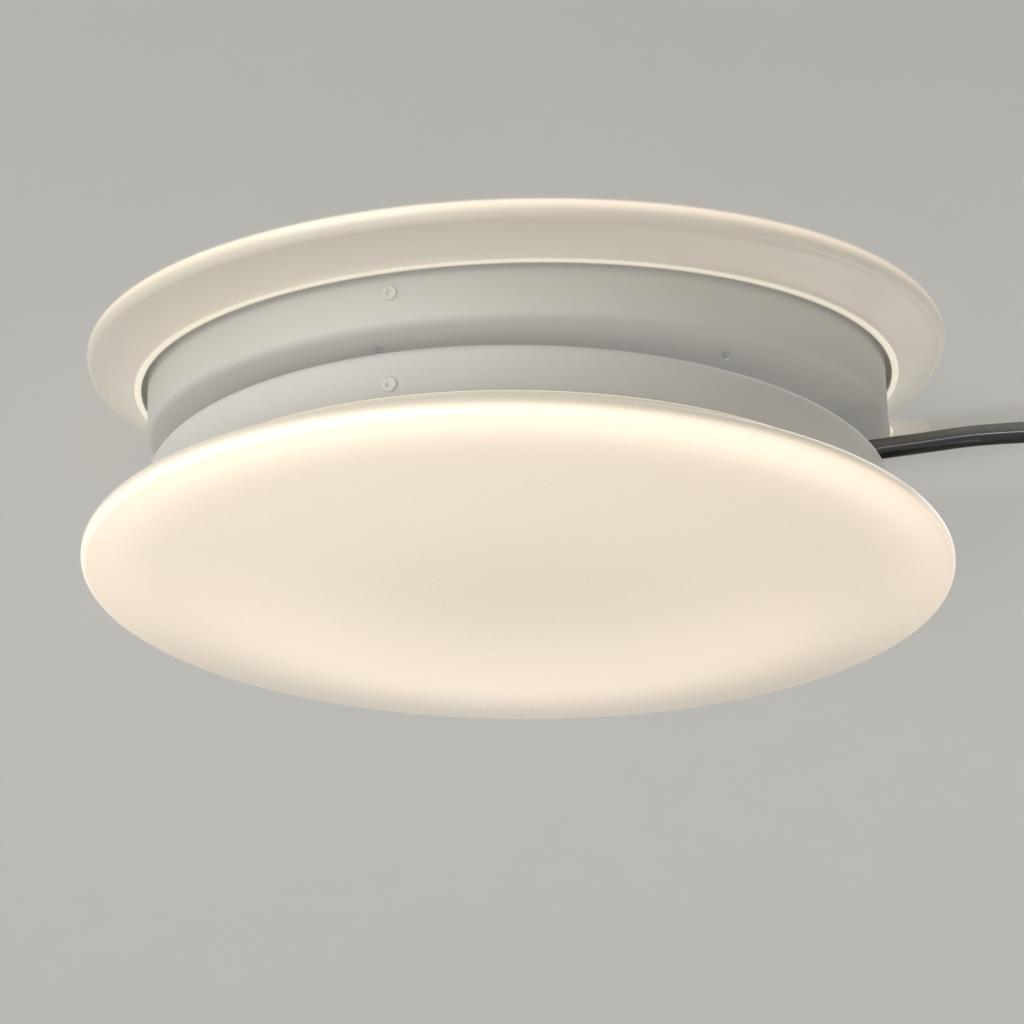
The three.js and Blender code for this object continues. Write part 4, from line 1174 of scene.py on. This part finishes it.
class LAMP_OT_inner_cables(bpy.types.Operator):
    """Add the grommet, the end of the supply cable and the wires inside the pan"""

    bl_idname = "lamp.add_inner_cables"
    bl_label = "Inner cables"

    def execute(self, context):
        self.add_grommet()
        start, grip_start, sheath_end = GROMMET_TOP + 0.2, 38, 29
        cable_end = [
            through_grommet(start),
            *level_out(GROMMET_FOOT - CABLE_LEAD, BORE_Z),
            (grip_start, GROMMET[1], BORE_Z),
            (sheath_end, GROMMET[1], BORE_Z),
        ]
        route = smooth_route(cable_end, count=24)
        add_cable("cable_end_sheath", route, CABLE_RADIUS * MM, "black_sheath", "base", "cable_end")
        for name, (slot, points) in self.wire_routes().items():
            route = smooth_route(points, count=20)
            add_cable(f"{name}_wire", route, WIRE_RADIUS * MM, slot, "base", name)
        return {"FINISHED"}

    def add_grommet(self):
        """Adds the rubber grommet with its slanting bore."""
        flange, neck, bore, edge_round, neck_top = 8, 5.6, 2.85, 0.5, PAN_BACK + 0.3
        points = [
            (0, GROMMET_FOOT), (flange, GROMMET_FOOT), (flange, FLOOR_SEAT), (neck, FLOOR_SEAT),
            (neck, neck_top), (flange, neck_top), (flange, GROMMET_TOP), (0, GROMMET_TOP),
        ]
        ring = soften(spun(in_metres(points), steps=64), edge_round * MM, limit=50)
        half_bore = 9 * MM
        along = Vector((math.cos(CABLE_SLOPE), 0, math.sin(CABLE_SLOPE))) * half_bore
        middle = Vector((0, 0, PAN_MIDDLE * MM))
        ring = carved(ring, rod(bore * MM, middle - along, middle + along, segments=48))
        put(ring, Matrix.Translation(Vector((*GROMMET, 0)) * MM))
        add_piece("grommet_ring", ring, "black_rubber", "base", "cable_grommet")

    def wire_routes(self):
        """Routes of the cores, leads and earth wire, with their slots."""
        ways, entry, block_right, block_left = (17, 27, 37), 4, 15, -3
        tray_wall, half_pitch, lead_z = 1.6, 1.2, FLOOR_SEAT - 9.2
        routes = {}

        # From the end of the sheath, where the cores lie round a small circle, into the terminals
        sheath, circle, mouth = 28.7, 1.25, block_right + entry
        cores = (
            ("core_live", "brown_wire", 210),
            ("core_neutral", "blue_wire", 90),
            ("core_earth", "green_wire", -30),
        )
        for way, (name, slot, degrees) in zip(ways, cores):
            turn = math.radians(degrees)
            y, z = GROMMET[1] + circle * math.cos(turn), BORE_Z + circle * math.sin(turn)
            routes[name] = slot, [
                (sheath, y, z),
                (sheath - WIRE_RADIUS, y, z),
                ((sheath + mouth) / 2, (y + way) / 2, (z + BORE_Z) / 2),
                (mouth, way, BORE_Z),
                (block_right - entry, way, BORE_Z),
            ]

        # From the terminals through the side of the driver's tray
        tray_x, tray_y = -44.4, -14
        leads = (("driver_lead_live", "brown_wire", 1), ("driver_lead_neutral", "blue_wire", 2))
        for way, (name, slot, reach) in zip(ways, leads):
            x = tray_x + (half_pitch if reach == 1 else -half_pitch)
            routes[name] = slot, [
                (block_left + entry, way, BORE_Z),
                (block_left, way, BORE_Z),
                (block_left - entry * reach, way, BORE_Z),
                (x, (way + tray_y) / 2, (BORE_Z + lead_z) / 2),
                (x, tray_y + entry, lead_z),
                (x, tray_y - tray_wall - entry, lead_z),
            ]

        # From the last terminal to the earth tag on the pan's floor
        tag_start, tag_end, tag_y, tag_z, way = -20, -26.2, 46, FLOOR_SEAT - 2.2, ways[2]
        routes["earth_wire"] = "green_wire", [
            (block_left + entry, way, BORE_Z),
            (block_left - entry, way, BORE_Z),
            ((block_left + tag_start) / 2, (way + tag_y) / 2, (BORE_Z + tag_z) / 2),
            (tag_start, tag_y, tag_z),
            (tag_end, tag_y, tag_z),
        ]

        # From the end of the driver's tray to the pads of the light board
        tray_end, tray_middle, lead_turn = 40, -22.6, 53
        pad_circle, pad_z = 80, FLOOR_SEAT - 2.7
        for side, name, slot in (
            (1, "board_lead_positive", "red_wire"), (-1, "board_lead_negative", "black_wire"),
        ):
            y = tray_middle + side * half_pitch
            pad_y = y + side * entry / 2
            pad_x = math.sqrt(pad_circle ** 2 - pad_y ** 2)
            routes[name] = slot, [
                (tray_end - tray_wall - entry, y, lead_z),
                (tray_end + entry, y, lead_z),
                (lead_turn, (y + pad_y) / 2, (lead_z + pad_z) / 2),
                (pad_x, pad_y, pad_z),
                (pad_x + entry, pad_y, pad_z),
            ]
        return routes


class LAMP_OT_finish_nodes(bpy.types.Operator):
    """Give every solid that stays in view its finish"""

    bl_idname = "lamp.finish_nodes"
    bl_label = "Finishes"

    def execute(self, context):
        for part in frame["record"]["subparts"]:
            node = frame["nodes"][part["node"]]
            if node.hide_render:
                continue
            node.data.materials.clear()
            node.data.materials.append(finish_for(part["material_slot"]))
        return {"FINISHED"}


class LAMP_PT_build(bpy.types.Panel):
    """Buttons for the lamp's pieces"""

    bl_label = "Ceiling light"
    bl_idname = "LAMP_PT_build"
    bl_space_type = "VIEW_3D"
    bl_region_type = "UI"
    bl_category = "Ceiling light"

    def draw(self, context):
        for operator in OPERATORS:
            self.layout.operator(operator.bl_idname)
        for group in (context.scene.lamp_sizes, context.scene.lamp_colours, context.scene.stage_settings):
            for name in group.__annotations__:
                self.layout.prop(group, name)


OPERATORS = (
    LAMP_OT_stage,
    LAMP_OT_supply_cable,
    LAMP_OT_diffuser,
    LAMP_OT_base_pan,
    LAMP_OT_ceiling_bar,
    LAMP_OT_spring_clips,
    LAMP_OT_screws,
    LAMP_OT_inner_cables,
    LAMP_OT_finish_nodes,
)
GROUPS = {"lamp_sizes": LampSizes, "lamp_colours": LampColours, "stage_settings": StageSettings}


def register():
    """Registers the settings, operators and panel."""
    for name, group in GROUPS.items():
        bpy.utils.register_class(group)
        setattr(bpy.types.Scene, name, PointerProperty(type=group))
    for each in (*OPERATORS, LAMP_PT_build):
        bpy.utils.register_class(each)


def unregister():
    """Takes the panel, operators and settings away again."""
    for each in (LAMP_PT_build, *reversed(OPERATORS)):
        bpy.utils.unregister_class(each)
    for name, group in GROUPS.items():
        delattr(bpy.types.Scene, name)
        bpy.utils.unregister_class(group)


def main():
    """Builds the whole lamp."""
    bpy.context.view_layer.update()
    register()
    for operator in OPERATORS:
        group, name = operator.bl_idname.split(".")
        getattr(getattr(bpy.ops, group), name)()


if __name__ == "__main__":
    main()
